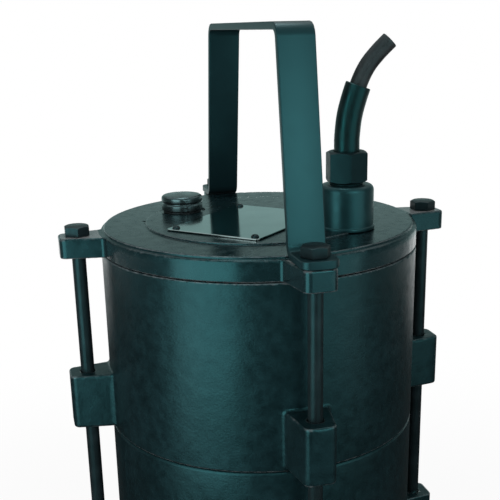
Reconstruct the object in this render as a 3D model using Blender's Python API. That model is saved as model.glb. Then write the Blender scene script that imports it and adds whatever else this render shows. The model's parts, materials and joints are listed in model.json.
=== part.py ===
"""Submersible dewatering pump: cast body held by four long tie bolts, strap handle, cut cable.

Units are metres, +Z is up, and the origin is the centre of the strainer's closed base.
The body is a stack of castings on one axis. Four tie bolts on the X and Y axes clamp it from
the cover's ears to the casing's ears. Only the rotor turns, about +Z.
"""
import math

import bmesh
import bpy
from mathutils import Matrix, Vector

for old in list(bpy.data.objects):
    bpy.data.objects.remove(old, do_unlink=True)

# Clearances
SEAT_GAP = 0.0003
BOLT_CLEARANCE = 0.0005
RUN_CLEARANCE = 0.001
RACE_CLEARANCE = 0.0012

# Body castings
BODY_RADIUS = 0.118
COVER_HEIGHT = 0.0165
COVER_PLATE = 0.010
COVER_LEDGE = 0.0025
COVER_STEP = 0.002
COVER_EDGE = 0.001
PAD_INSET = 0.0335
PAD_HEIGHT = 0.0012
MOTOR_HOUSING_HEIGHT = 0.134
HOUSING_WALL = 0.012
LOWER_HOUSING_HEIGHT = 0.078
LOWER_WALL = 0.010
SEAL_PLATE_HEIGHT = 0.020
SEAL_PLATE_FLOOR = 0.012
VOLUTE_SPARE = 0.004
VOLUTE_ROOF = 0.010
VOLUTE_WALL = 0.008
VOLUTE_TOP_FLANGE = 0.014
VOLUTE_FOOT_FLANGE = 0.010
WEAR_PLATE_THICKNESS = 0.008
STRAINER_HEIGHT = 0.060
STRAINER_INSET = 0.012
STRAINER_WALL = 0.003
STRAINER_FLANGE = 0.016
STRAINER_SLOTS = 14
SLOT_WIDTH = 0.010
SLOT_HEIGHT = 0.032
SPIGOT_DEPTH = 0.006
SPIGOT_WALL = 0.008
GASKET_THICKNESS = 0.001
SEAL_CORD_RADIUS = 0.0013

# Tie bolts and the ears that they pass through
TIE_BOLT_RADIUS = 0.005
TIE_BOLT_OFFSET = 0.017
TIE_BOLT_TAIL = 0.006
HEAD_PROPORTION = 3.4
HEAD_HEIGHT = 0.007
NUT_HEIGHT = 0.008
EAR_MARGIN = 0.002
EAR_END = 0.0135
EAR_CORNER = 0.005
EAR_FILLET = 0.007
LUG_HEIGHT = 0.0415
LUG_LIFT = 0.003

# Strap handle
STRAP_WIDTH = 0.025
STRAP_THICKNESS = 0.005
STRAP_FOOT_BEND = 0.007
STRAP_TOP_BEND = 0.008
STRAP_FOOT_CORNER = 0.006
HANDLE_HEIGHT = 0.142
HANDLE_LEAN = 0.022

# Rating plate, cable gland and test plug on the cover
PLATE_MARGIN = 0.014
PLATE_PROPORTION = 1.31
PLATE_THICKNESS = 0.001
PLATE_SHIFT = (-0.018, -0.001)
GLAND_INSET = 0.0455
PLUG_INSET = 0.049
CABLE_RADIUS = 0.006
SLEEVE_WALL = 0.0026
SLEEVE_SOCKET = 0.010
GLAND_BODY_RADIUS = 0.0185
GLAND_BODY_HEIGHT = 0.027
GLAND_BODY_EDGE = 0.003
GLAND_SPIGOT = 0.009
GLAND_SPIGOT_INSET = 0.0045
GLAND_SLACK = 0.001
GLAND_SHELF = 0.012
GLAND_BUSH_WALL = 0.005
NUT_NECK_HEIGHT = 0.008
NUT_NECK_DEPTH = 0.004
GLAND_NUT_ACROSS_FLATS = 0.0265
GLAND_NUT_HEIGHT = 0.0195
SPOT_FACE_MARGIN = 0.002
SPOT_FACE_DEPTH = 0.0002
PLUG_RADIUS = 0.016
PLUG_HEIGHT = 0.009
PLUG_GROOVE = 0.0012
PLUG_SHANK = 0.008
PLUG_SHANK_LENGTH = 0.010
PLUG_WASHER = 0.0015
PLUG_EDGE = 0.002
PLUG_FOOT = 0.001

# The cable's route beyond the gland nut: how far it leans to the side, and how high it is
CABLE_LEAN_ANGLE = math.radians(-14.5)
CABLE_START_DEPTH = 0.026
CABLE_ROUTE = [
    (0.0, 0.0),
    (0.0002, 0.0113),
    (0.0022, 0.0267),
    (0.0075, 0.0447),
    (0.0131, 0.0567),
    (0.0205, 0.066),
    (0.0285, 0.074),
]
SLEEVE_LENGTH = 0.0455

# Motor
AIR_GAP = 0.0008
ROTOR_INSET = 0.052
STATOR_HEADROOM = 0.043
STATOR_LIFT = 0.012
STATOR_SHOULDER = 0.005
WINDING_HEIGHT = 0.020
WINDING_MARGIN = 0.010
END_RING_HEIGHT = 0.010
END_RING_WIDTH = 0.016
END_RING_STEP = 0.006
WINDING_EDGE = 0.005
SHAFT_TAIL = 0.002
SHAFT_RADIUS = 0.015
IMPELLER_SHOULDER = 0.0025
ROTOR_SHOULDER = 0.005
THREAD_SHOULDER = 0.0045
UPPER_BEARING_DEPTH = 0.016
UPPER_BEARING_WIDTH = 0.016
LOWER_BEARING_DEPTH = 0.021
LOWER_BEARING_WIDTH = 0.019
BALL_COUNT = 6
BEARING_BOSS_WALL = 0.010
BEARING_ROOF = 0.007
WEB_THICKNESS = 0.010
OIL_ROOM = 0.022
RETAINER_HEIGHT = 0.005
RETAINER_LIP = 0.004
BEARING_SHELF = 0.006
RELIEF_DEPTH = 0.003

# Shaft seals and oil plug
SEAL_SEAT_WALL = 0.0085
SEAL_SEAT_HEIGHT = 0.008
SEAL_HUB = 0.006
SEAL_HUB_WALL = 0.010
SEAL_UNIT_RIM = 0.001
SEAL_UNIT_WAIST = 0.003
OIL_PLUG_RADIUS = 0.007
OIL_PLUG_ANGLE = math.radians(225)

# Impeller and suction
IMPELLER_RADIUS = 0.062
IMPELLER_HUB_WALL = 0.0055
IMPELLER_HUB_TAPER = 0.002
IMPELLER_FILLET = 0.004
IMPELLER_HUB_DROP = 0.025
SHROUD_THICKNESS = 0.004
SHROUD_CLEARANCE = 0.004
VANE_COUNT = 5
VANE_THICKNESS = 0.004
VANE_START = 0.026
VANE_SWEEP = math.radians(115)
KEY_WIDTH = 0.006
KEY_LENGTH = 0.020
KEY_DEPTH = 0.003
IMPELLER_NUT_PROPORTION = 3
IMPELLER_NUT_HEIGHT = 0.012
WASHER_THICKNESS = 0.003
EYE_RADIUS = 0.032
EYE_FLARE = 0.004
SPIRAL_CLEARANCE = 0.010
SPIRAL_GROWTH = 0.024
SPIRAL_END_ANGLE = math.radians(135)
SPIRAL_TURN = math.radians(300)

# Discharge branch
DISCHARGE_ANGLE = math.radians(45)
NOZZLE_BORE = 0.021
NOZZLE_WALL = 0.007
NOZZLE_OFFSET = 0.053
NOZZLE_REACH = 0.013
FLANGE_MARGIN = 0.018
FLANGE_THICKNESS = 0.010
FLANGE_BOLT_RADIUS = 0.004
FLANGE_HEAD_ACROSS_FLATS = 0.013
FLANGE_HEAD_HEIGHT = 0.0053
BEND_RADIUS = 0.042
COLLAR_WALL = 0.008
COLLAR_HEIGHT = 0.018
BEND_NECK = 0.012
TAIL_WALL = 0.0045
TAIL_COLLAR_HEIGHT = 0.008
BARB_COUNT = 3
BARB_PITCH = 0.017
BARB_HEIGHT = 0.0015
TAIL_SPIGOT = 0.013

# Facets, and how far a tool goes past the face that it cuts or joins
REACH = 0.002
BODY_SIDES = 28
PIPE_SIDES = 20
SHAFT_SIDES = 16
BOLT_SIDES = 12
HOLE_SIDES = 8
SMOOTH_ANGLE = math.radians(32)
CHAMFER_SLOPE = math.tan(math.radians(30))

# Heights of the stack, from the floor up
WEAR_PLATE_BASE = STRAINER_HEIGHT + SEAT_GAP
WEAR_PLATE_TOP = WEAR_PLATE_BASE + WEAR_PLATE_THICKNESS
VOLUTE_BASE = WEAR_PLATE_TOP + SEAT_GAP
NOZZLE_RADIUS = NOZZLE_BORE + NOZZLE_WALL
VOLUTE_TOP = VOLUTE_BASE + 2 * NOZZLE_RADIUS + VOLUTE_SPARE
SEAL_PLATE_BASE = VOLUTE_TOP + GASKET_THICKNESS + 2 * SEAT_GAP
SEAL_PLATE_TOP = SEAL_PLATE_BASE + SEAL_PLATE_HEIGHT
LOWER_BASE = SEAL_PLATE_TOP + SEAT_GAP
LOWER_TOP = LOWER_BASE + LOWER_HOUSING_HEIGHT
MOTOR_BASE = LOWER_TOP + SEAT_GAP
MOTOR_TOP = MOTOR_BASE + MOTOR_HOUSING_HEIGHT
COVER_BASE = MOTOR_TOP + SEAT_GAP
COVER_TOP = COVER_BASE + COVER_HEIGHT
EAR_TOP = COVER_TOP - COVER_STEP

# Places that several pieces share
BOLT_CIRCLE = BODY_RADIUS + TIE_BOLT_OFFSET
EAR_REACH = BOLT_CIRCLE + EAR_END
BOLT_PLACES = {
    "right": Vector((BOLT_CIRCLE, 0, 0)),
    "rear": Vector((0, BOLT_CIRCLE, 0)),
    "left": Vector((-BOLT_CIRCLE, 0, 0)),
    "front": Vector((0, -BOLT_CIRCLE, 0)),
}
BOLT_HOLE = TIE_BOLT_RADIUS + BOLT_CLEARANCE
HEAD_ACROSS_FLATS = HEAD_PROPORTION * TIE_BOLT_RADIUS
HEAD_CORNER = HEAD_ACROSS_FLATS / math.sqrt(3)
EAR_HALF_WIDTH = HEAD_ACROSS_FLATS / 2 + EAR_MARGIN
PAD_RADIUS = BODY_RADIUS - PAD_INSET
GLAND_CIRCLE = BODY_RADIUS - GLAND_INSET
ROTOR_SEAT = SHAFT_RADIUS + ROTOR_SHOULDER
IMPELLER_SEAT = SHAFT_RADIUS - IMPELLER_SHOULDER
SHAFT_THREAD = IMPELLER_SEAT - THREAD_SHOULDER
IMPELLER_HUB = IMPELLER_SEAT + IMPELLER_HUB_WALL
UPPER_BEARING = {"outer": SHAFT_RADIUS + UPPER_BEARING_DEPTH, "width": UPPER_BEARING_WIDTH}
LOWER_BEARING = {"outer": SHAFT_RADIUS + LOWER_BEARING_DEPTH, "width": LOWER_BEARING_WIDTH}
HOUSING_BORE = BODY_RADIUS - HOUSING_WALL
LOWER_REGISTER = HOUSING_BORE - STATOR_SHOULDER
STRAINER_RADIUS = BODY_RADIUS - STRAINER_INSET
FOOT_RADIUS = STRAINER_RADIUS + STRAINER_FLANGE
FOOT_BOLT_CIRCLE = STRAINER_RADIUS + STRAINER_FLANGE / 2
STATOR_BASE = MOTOR_BASE + STATOR_LIFT + SEAT_GAP
STATOR_TOP = STATOR_BASE + MOTOR_HOUSING_HEIGHT - STATOR_HEADROOM
ROTOR_RADIUS = BODY_RADIUS - ROTOR_INSET
COVER_UNDERSIDE = COVER_TOP - COVER_PLATE
UPPER_BEARING_TOP = COVER_UNDERSIDE - BEARING_ROOF
UPPER_BEARING_BASE = UPPER_BEARING_TOP - UPPER_BEARING["width"]
WEB_BASE = LOWER_BASE + OIL_ROOM
WEB_TOP = WEB_BASE + WEB_THICKNESS
LOWER_BEARING_BASE = WEB_TOP + SEAT_GAP
LOWER_BEARING_TOP = LOWER_BEARING_BASE + LOWER_BEARING["width"]
SEAL_PLATE_FLOOR_TOP = SEAL_PLATE_BASE + SEAL_PLATE_FLOOR
SEAL_BORE = SHAFT_RADIUS + BOLT_CLEARANCE
SEAL_SEAT_RADIUS = SHAFT_RADIUS + SEAL_SEAT_WALL
VOLUTE_ROOF_BASE = VOLUTE_TOP - VOLUTE_ROOF
SHROUD_TOP = VOLUTE_ROOF_BASE - SHROUD_CLEARANCE
SHROUD_BASE = SHROUD_TOP - SHROUD_THICKNESS
IMPELLER_TOP = VOLUTE_TOP
IMPELLER_HUB_BASE = SHROUD_BASE - IMPELLER_HUB_DROP
DISCHARGE = Vector((math.cos(DISCHARGE_ANGLE), math.sin(DISCHARGE_ANGLE), 0))
ASIDE = Vector((-math.sin(DISCHARGE_ANGLE), math.cos(DISCHARGE_ANGLE), 0))
UP = Vector((0, 0, 1))
NOZZLE_HEIGHT = VOLUTE_BASE + NOZZLE_RADIUS + VOLUTE_SPARE / 4
FLANGE_RADIUS = NOZZLE_RADIUS + FLANGE_MARGIN
FLANGE_BOLT_CIRCLE = NOZZLE_RADIUS + FLANGE_MARGIN / 2
NOZZLE_FACE = FOOT_RADIUS + NOZZLE_REACH + FLANGE_THICKNESS
GLAND_PLACE = Vector((GLAND_CIRCLE, -GLAND_CIRCLE, 0)) / math.sqrt(2)
PLUG_CIRCLE = BODY_RADIUS - PLUG_INSET
PLUG_PLACE = Vector((-PLUG_CIRCLE, PLUG_CIRCLE, 0)) / math.sqrt(2)
SLEEVE_RADIUS = CABLE_RADIUS + SEAT_GAP + SLEEVE_WALL

# Colour, roughness and metallic value of each finish
PAINT = ((0.012, 0.034, 0.038), 0.38, 0.0)
DARK_STEEL = ((0.016, 0.018, 0.020), 0.35, 0.6)
STEEL = ((0.45, 0.46, 0.47), 0.32, 1.0)
RUBBER = ((0.012, 0.013, 0.014), 0.6, 0.0)
PLATE_METAL = ((0.20, 0.27, 0.26), 0.3, 0.7)
LAMINATION = ((0.16, 0.16, 0.17), 0.5, 0.8)
COPPER = ((0.50, 0.20, 0.08), 0.4, 0.8)
CERAMIC = ((0.55, 0.53, 0.48), 0.3, 0.0)
IRON = ((0.10, 0.10, 0.11), 0.55, 0.7)
FIBRE = ((0.16, 0.10, 0.06), 0.8, 0.0)
BRASS = ((0.55, 0.40, 0.14), 0.35, 1.0)

pump = bpy.data.objects.new("pump", None)
bpy.context.scene.collection.objects.link(pump)
rotor = bpy.data.objects.new("rotor_axis", None)
rotor.parent = pump
bpy.context.scene.collection.objects.link(rotor)


def dress(obj, look, parent=pump):
    """Gives a piece its own material and its parent."""
    colour, roughness, metallic = look
    material = bpy.data.materials.new(f"{obj.name}_finish")
    material.use_nodes = True
    shader = material.node_tree.nodes["Principled BSDF"]
    shader.inputs["Base Color"].default_value = (*colour, 1)
    shader.inputs["Roughness"].default_value = roughness
    shader.inputs["Metallic"].default_value = metallic
    obj.data.materials.clear()
    obj.data.materials.append(material)
    obj.parent = parent
    return obj


def finish(obj, look, parent=pump):
    """Dresses a solid and shades it smooth between its sharp edges."""
    obj.data.shade_smooth()
    obj.data.set_sharp_from_angle(angle=SMOOTH_ANGLE)
    return dress(obj, look, parent)


def mesh_object(name, shape, place=(0, 0, 0), direction=UP):
    """Makes an object from a bmesh, with its local Z along the direction and its local Y upward."""
    bmesh.ops.recalc_face_normals(shape, faces=shape.faces)
    mesh = bpy.data.meshes.new(name)
    shape.to_mesh(mesh)
    shape.free()
    obj = bpy.data.objects.new(name, mesh)
    obj.location = place
    obj.rotation_mode = "QUATERNION"
    if direction != UP:
        obj.rotation_quaternion = direction.to_track_quat("Z", "Y")
    bpy.context.scene.collection.objects.link(obj)
    return obj


def turned(name, profile, sides, place=(0, 0, 0), direction=UP):
    """Turns (radius, height) points about the local Z; a profile off the axis is a closed ring."""
    shape = bmesh.new()
    points = [shape.verts.new((radius, 0, height)) for radius, height in profile]
    lines = [shape.edges.new(pair) for pair in zip(points, points[1:])]
    if profile[0][0] > 0:
        lines.append(shape.edges.new((points[-1], points[0])))
    full_turn = 2 * math.pi
    spin = {"cent": (0, 0, 0), "axis": (0, 0, 1), "angle": full_turn, "steps": sides}
    bmesh.ops.spin(shape, geom=points + lines, use_merge=True, **spin)
    bmesh.ops.remove_doubles(shape, verts=shape.verts, dist=1e-6)
    return mesh_object(name, shape, place, direction)


def ring(inner, outer, base, top):
    """A plain ring's closed profile."""
    return [(inner, base), (outer, base), (outer, top), (inner, top)]


def prism(name, outline, base, top, place=(0, 0, 0)):
    """Raises a flat outline from one height to another."""
    shape = bmesh.new()
    face = shape.faces.new([shape.verts.new((x, y, base)) for x, y in outline])
    raised = bmesh.ops.extrude_face_region(shape, geom=[face])
    moved = [item for item in raised["geom"] if isinstance(item, bmesh.types.BMVert)]
    bmesh.ops.translate(shape, vec=(0, 0, top - base), verts=moved)
    return mesh_object(name, shape, place)


def add_cylinder(shape, start, end, radius, sides):
    """Adds a capped cylinder, or a hexagon with six sides, between two points."""
    axis = end - start
    middle = Matrix.Translation((start + end) / 2)
    turn = axis.to_track_quat("Z", "Y").to_matrix().to_4x4()
    sizes = {"radius1": radius, "radius2": radius, "depth": axis.length}
    bmesh.ops.create_cone(shape, cap_ends=True, segments=sides, matrix=middle @ turn, **sizes)


def cylinders(specs, sides=HOLE_SIDES):
    """One tool made of several cylinders, each given by its two ends and its radius."""
    shape = bmesh.new()
    for start, end, radius in specs:
        add_cylinder(shape, start, end, radius, sides)
    return mesh_object("tool", shape)


def combine(target, tool, operation):
    """Cuts, joins or keeps what two shapes share, then removes the tool."""
    tool.hide_render = True
    tool.display_type = "WIRE"
    boolean = target.modifiers.new(operation.lower(), "BOOLEAN")
    boolean.operation = operation
    boolean.object = tool
    bpy.context.view_layer.update()
    shaped = target.evaluated_get(bpy.context.evaluated_depsgraph_get())
    mesh = bpy.data.meshes.new_from_object(shaped)
    target.modifiers.remove(boolean)
    target.data = mesh
    bpy.data.objects.remove(tool, do_unlink=True)
    return target


def arc(centre, radius, first, last, steps):
    """Points on an arc, both ends included, with angles in radians."""
    angles = [first + (last - first) * step / steps for step in range(steps + 1)]
    return [(centre[0] + radius * math.cos(a), centre[1] + radius * math.sin(a)) for a in angles]


def eared_outline(radius, reach):
    """A round plate with four square-ended ears on the axes, each with filleted roots."""
    quarter = math.pi / 2
    root_x = math.sqrt((radius + EAR_FILLET) ** 2 - (EAR_HALF_WIDTH + EAR_FILLET) ** 2)
    root_y = EAR_HALF_WIDTH + EAR_FILLET
    root_angle = math.atan2(root_y, root_x)
    end = (reach - EAR_CORNER, EAR_HALF_WIDTH - EAR_CORNER)
    ear = arc((root_x, -root_y), EAR_FILLET, math.pi - root_angle, quarter, 2)
    ear += arc((end[0], -end[1]), EAR_CORNER, -quarter, 0, 2)
    ear += arc(end, EAR_CORNER, 0, quarter, 2)
    ear += arc((root_x, root_y), EAR_FILLET, 3 * quarter, math.pi + root_angle, 2)
    ear += arc((0, 0), radius, root_angle, quarter - root_angle, BODY_SIDES // 4 - 3)[1:-1]
    outline = []
    for turn in range(4):
        spin = Matrix.Rotation(turn * quarter, 2)
        outline += [tuple(spin @ Vector(point)) for point in ear]
    return outline


def through_ears(base, top):
    """The four tie-bolt holes between two heights."""
    holes = [(place + UP * base, place + UP * top, BOLT_HOLE) for place in BOLT_PLACES.values()]
    return cylinders(holes)


def seal_chamfer():
    """The corner bevel that leaves just enough room for a seal cord."""
    return 2 * SEAL_CORD_RADIUS + (SEAL_CORD_RADIUS + SEAT_GAP) * math.sqrt(2)


def seal_cord(name, spigot, face, side):
    """A round seal cord in the corner between a spigot and a flat face, above or below the face."""
    reach = SEAL_CORD_RADIUS + SEAT_GAP
    middle = (spigot + reach, face + side * reach)
    section = arc(middle, SEAL_CORD_RADIUS, 0, 2 * math.pi, 4)[:-1]
    return finish(turned(name, section, BODY_SIDES), RUBBER)


# Strainer: a pressed cup with a closed base, slotted wall and bolting flange
edge = STRAINER_WALL
strainer_profile = [
    (0, 0),
    (STRAINER_RADIUS - edge, 0),
    (STRAINER_RADIUS, edge),
    (STRAINER_RADIUS, STRAINER_HEIGHT - STRAINER_WALL),
    (FOOT_RADIUS, STRAINER_HEIGHT - STRAINER_WALL),
    (FOOT_RADIUS, STRAINER_HEIGHT),
    (STRAINER_RADIUS - STRAINER_WALL, STRAINER_HEIGHT),
    (STRAINER_RADIUS - STRAINER_WALL, STRAINER_WALL),
    (0, STRAINER_WALL),
]
strainer = turned("strainer", strainer_profile, BODY_SIDES)
slots = bmesh.new()
slot_half = SLOT_WIDTH / 2
slot_run = (SLOT_HEIGHT - SLOT_WIDTH) / 2
slot_middle = (STRAINER_HEIGHT - STRAINER_WALL) / 2
slot_outline = arc((0, slot_run), slot_half, 0, math.pi, 2)
slot_outline += arc((0, -slot_run), slot_half, math.pi, 2 * math.pi, 2)
slot_inner = STRAINER_RADIUS - 2 * STRAINER_WALL
for index in range(STRAINER_SLOTS):
    spin = Matrix.Rotation((index + 0.5) * 2 * math.pi / STRAINER_SLOTS, 4, "Z")
    corners = [spin @ Vector((slot_inner, y, slot_middle + z)) for y, z in slot_outline]
    face = slots.faces.new([slots.verts.new(corner) for corner in corners])
    pushed = bmesh.ops.extrude_face_region(slots, geom=[face])
    moved = [item for item in pushed["geom"] if isinstance(item, bmesh.types.BMVert)]
    bmesh.ops.translate(slots, vec=spin @ Vector((3 * STRAINER_WALL, 0, 0)), verts=moved)
combine(strainer, mesh_object("tool", slots), "DIFFERENCE")
FOOT_BOLT_PLACES = [
    Vector((math.cos(angle), math.sin(angle), 0)) * FOOT_BOLT_CIRCLE
    for angle in [math.radians(45 + 120 * index) for index in range(3)]
]
foot_hole = FLANGE_BOLT_RADIUS + BOLT_CLEARANCE
foot_bolt_top = VOLUTE_BASE + VOLUTE_FOOT_FLANGE - REACH
foot_holes = [(place, place + UP * foot_bolt_top, foot_hole) for place in FOOT_BOLT_PLACES]
combine(strainer, cylinders(foot_holes), "DIFFERENCE")
finish(strainer, DARK_STEEL)

# Wear plate: the suction cover under the impeller, with a flared eye
wear_profile = [
    (EYE_RADIUS, WEAR_PLATE_TOP),
    (EYE_RADIUS, WEAR_PLATE_BASE + EYE_FLARE),
    (EYE_RADIUS + EYE_FLARE, WEAR_PLATE_BASE),
    (FOOT_RADIUS, WEAR_PLATE_BASE),
    (FOOT_RADIUS, WEAR_PLATE_TOP),
]
wear_plate = turned("wear_plate", wear_profile, BODY_SIDES)
combine(wear_plate, cylinders(foot_holes), "DIFFERENCE")
finish(wear_plate, IRON)


def spiral_outline(extra):
    """The volute's outline: its radius grows with the flow, clockwise from the tongue."""
    steps = 18
    start = IMPELLER_RADIUS + SPIRAL_CLEARANCE + extra
    points = []
    for step in range(steps + 1):
        angle = SPIRAL_END_ANGLE + SPIRAL_TURN * step / steps
        radius = start + SPIRAL_GROWTH * (1 - step / steps)
        points.append((radius * math.cos(angle), radius * math.sin(angle)))
    return points


def nozzle_point(along):
    """A point on the discharge nozzle's axis."""
    return ASIDE * NOZZLE_OFFSET + DISCHARGE * along + UP * NOZZLE_HEIGHT


def flange_bolt_places(along):
    """The four bolt centres of the discharge flange, at one distance along the nozzle."""
    spots = arc((0, 0), FLANGE_BOLT_CIRCLE, math.pi / 4, 7 * math.pi / 4, 3)
    return [nozzle_point(along) + ASIDE * aside + UP * rise for aside, rise in spots]


# Volute casing: spiral chamber open below, eared top flange, round foot flange and discharge nozzle
casing = turned(
    "volute_casing",
    [
        (0, VOLUTE_BASE + VOLUTE_FOOT_FLANGE),
        (FOOT_RADIUS, VOLUTE_BASE + VOLUTE_FOOT_FLANGE),
        (FOOT_RADIUS, VOLUTE_BASE),
        (0, VOLUTE_BASE),
    ],
    BODY_SIDES,
)
spiral = prism("tool", spiral_outline(VOLUTE_WALL), VOLUTE_BASE + REACH, VOLUTE_TOP - REACH)
combine(casing, spiral, "UNION")
ear_base = VOLUTE_TOP - VOLUTE_TOP_FLANGE
combine(casing, prism("tool", eared_outline(BODY_RADIUS, EAR_REACH), ear_base, VOLUTE_TOP), "UNION")
nozzle = [(nozzle_point(NOZZLE_BORE), nozzle_point(NOZZLE_FACE - REACH), NOZZLE_RADIUS)]
combine(casing, cylinders(nozzle, PIPE_SIDES), "UNION")
flange_back = NOZZLE_FACE - FLANGE_THICKNESS
flange = [(nozzle_point(flange_back), nozzle_point(NOZZLE_FACE), FLANGE_RADIUS)]
combine(casing, cylinders(flange, PIPE_SIDES), "UNION")
chamber = prism("tool", spiral_outline(0), VOLUTE_BASE - REACH, VOLUTE_ROOF_BASE)
combine(casing, chamber, "DIFFERENCE")
bore = [(nozzle_point(NOZZLE_BORE), nozzle_point(NOZZLE_FACE + REACH), NOZZLE_BORE)]
combine(casing, cylinders(bore, PIPE_SIDES), "DIFFERENCE")
hub_ends = (UP * (VOLUTE_ROOF_BASE - REACH), UP * (VOLUTE_TOP + REACH))
hub_hole = [(*hub_ends, IMPELLER_HUB + 2 * RUN_CLEARANCE)]
combine(casing, cylinders(hub_hole, SHAFT_SIDES), "DIFFERENCE")
combine(casing, through_ears(ear_base - REACH, VOLUTE_TOP + REACH), "DIFFERENCE")
combine(casing, cylinders(foot_holes), "DIFFERENCE")
flange_hole = FLANGE_BOLT_RADIUS + BOLT_CLEARANCE
spots = zip(flange_bolt_places(flange_back - REACH), flange_bolt_places(NOZZLE_FACE + REACH))
combine(casing, cylinders([(a, b, flange_hole) for a, b in spots]), "DIFFERENCE")
finish(casing, PAINT)


def hex_bolt(name, place, head, shank, look, direction=-UP, sides=HOLE_SIDES):
    """A hexagon bolt: place is under its head, which is a (height, across flats) pair."""
    height, across_flats = head
    radius, length = shank
    start = place - direction * SEAT_GAP
    shape = bmesh.new()
    add_cylinder(shape, Vector(), UP * -height, across_flats / math.sqrt(3), 6)
    bolt = mesh_object(name, shape, start, direction)
    rod = [(0, -height / 2), (radius, -height / 2), (radius, length), (0, length)]
    combine(bolt, turned("tool", rod, sides, start, direction), "UNION")
    return bolt if look is None else finish(bolt, look)


small_head = (FLANGE_HEAD_HEIGHT, FLANGE_HEAD_ACROSS_FLATS)
for index, place in enumerate(FOOT_BOLT_PLACES):
    hex_bolt(
        f"strainer_bolt_{index + 1}",
        place + UP * (STRAINER_HEIGHT - STRAINER_WALL),
        small_head,
        (FLANGE_BOLT_RADIUS, foot_bolt_top - STRAINER_HEIGHT),
        STEEL,
        UP,
    )

# Discharge gasket and bend, with a collar for the hose tail
GASKET_FACE = NOZZLE_FACE + SEAT_GAP
BEND_FACE = GASKET_FACE + GASKET_THICKNESS + SEAT_GAP
gasket_profile = ring(NOZZLE_BORE, FLANGE_RADIUS, 0, GASKET_THICKNESS)
gasket = turned("discharge_gasket", gasket_profile, PIPE_SIDES, nozzle_point(GASKET_FACE), DISCHARGE)
bend_flange = [(0, 0), (FLANGE_RADIUS, 0), (FLANGE_RADIUS, FLANGE_THICKNESS), (0, FLANGE_THICKNESS)]
bend = turned("discharge_bend", bend_flange, PIPE_SIDES, nozzle_point(BEND_FACE), DISCHARGE)
for piece in (gasket, bend):
    spots = zip(flange_bolt_places(NOZZLE_FACE), flange_bolt_places(NOZZLE_FACE + 2 * FLANGE_THICKNESS))
    combine(piece, cylinders([(a, b, flange_hole) for a, b in spots]), "DIFFERENCE")
finish(gasket, FIBRE)


def elbow(radius, lead, rise):
    """A quarter-turn tube: straight lead, bend upward, straight rise, in the bend's own frame."""
    steps = 4
    shape = bmesh.new()
    circle = arc((0, 0), radius, 0, 2 * math.pi, SHAFT_SIDES)[:-1]
    section = [shape.verts.new((x, y, -lead)) for x, y in circle]
    face = shape.faces.new(section)
    front = bmesh.ops.extrude_face_region(shape, geom=[face])["geom"]
    moved = [item for item in front if isinstance(item, bmesh.types.BMVert)]
    bmesh.ops.translate(shape, vec=(0, 0, lead), verts=moved)
    centre = Vector((0, BEND_RADIUS, 0))
    for step in range(steps):
        face = [item for item in front if isinstance(item, bmesh.types.BMFace)]
        front = bmesh.ops.extrude_face_region(shape, geom=face)["geom"]
        bmesh.ops.delete(shape, geom=face, context="FACES_ONLY")
        moved = [item for item in front if isinstance(item, bmesh.types.BMVert)]
        turn = Matrix.Rotation(-math.pi / 2 / steps, 3, "X")
        bmesh.ops.rotate(shape, cent=centre, matrix=turn, verts=moved)
    face = [item for item in front if isinstance(item, bmesh.types.BMFace)]
    front = bmesh.ops.extrude_face_region(shape, geom=face)["geom"]
    bmesh.ops.delete(shape, geom=face, context="FACES_ONLY")
    moved = [item for item in front if isinstance(item, bmesh.types.BMVert)]
    bmesh.ops.translate(shape, vec=(0, rise, 0), verts=moved)
    return mesh_object("tool", shape, nozzle_point(BEND_FACE + FLANGE_THICKNESS), DISCHARGE)


RISER = nozzle_point(BEND_FACE + FLANGE_THICKNESS + BEND_RADIUS)
COLLAR_BASE = NOZZLE_HEIGHT + BEND_RADIUS + BEND_NECK
COLLAR_TOP = COLLAR_BASE + COLLAR_HEIGHT
TAIL_RADIUS = NOZZLE_BORE + TAIL_WALL
combine(bend, elbow(NOZZLE_RADIUS, FLANGE_THICKNESS / 2, BEND_NECK + REACH), "UNION")
riser_foot = Vector((RISER.x, RISER.y, 0))
collar = [(riser_foot + UP * COLLAR_BASE, riser_foot + UP * COLLAR_TOP, NOZZLE_RADIUS + COLLAR_WALL)]
combine(bend, cylinders(collar, PIPE_SIDES), "UNION")
bore_rise = BEND_NECK + COLLAR_HEIGHT + REACH
combine(bend, elbow(NOZZLE_BORE, FLANGE_THICKNESS + REACH, bore_rise), "DIFFERENCE")
socket_base = COLLAR_TOP - TAIL_SPIGOT - RUN_CLEARANCE
socket_ends = (riser_foot + UP * socket_base, riser_foot + UP * (COLLAR_TOP + REACH))
socket = [(*socket_ends, TAIL_RADIUS + SEAT_GAP)]
combine(bend, cylinders(socket, SHAFT_SIDES), "DIFFERENCE")
finish(bend, PAINT)

for index, place in enumerate(flange_bolt_places(BEND_FACE + FLANGE_THICKNESS)):
    hex_bolt(
        f"discharge_bolt_{index + 1}",
        place,
        small_head,
        (FLANGE_BOLT_RADIUS, 2 * FLANGE_THICKNESS),
        STEEL,
        -DISCHARGE,
    )

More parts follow.
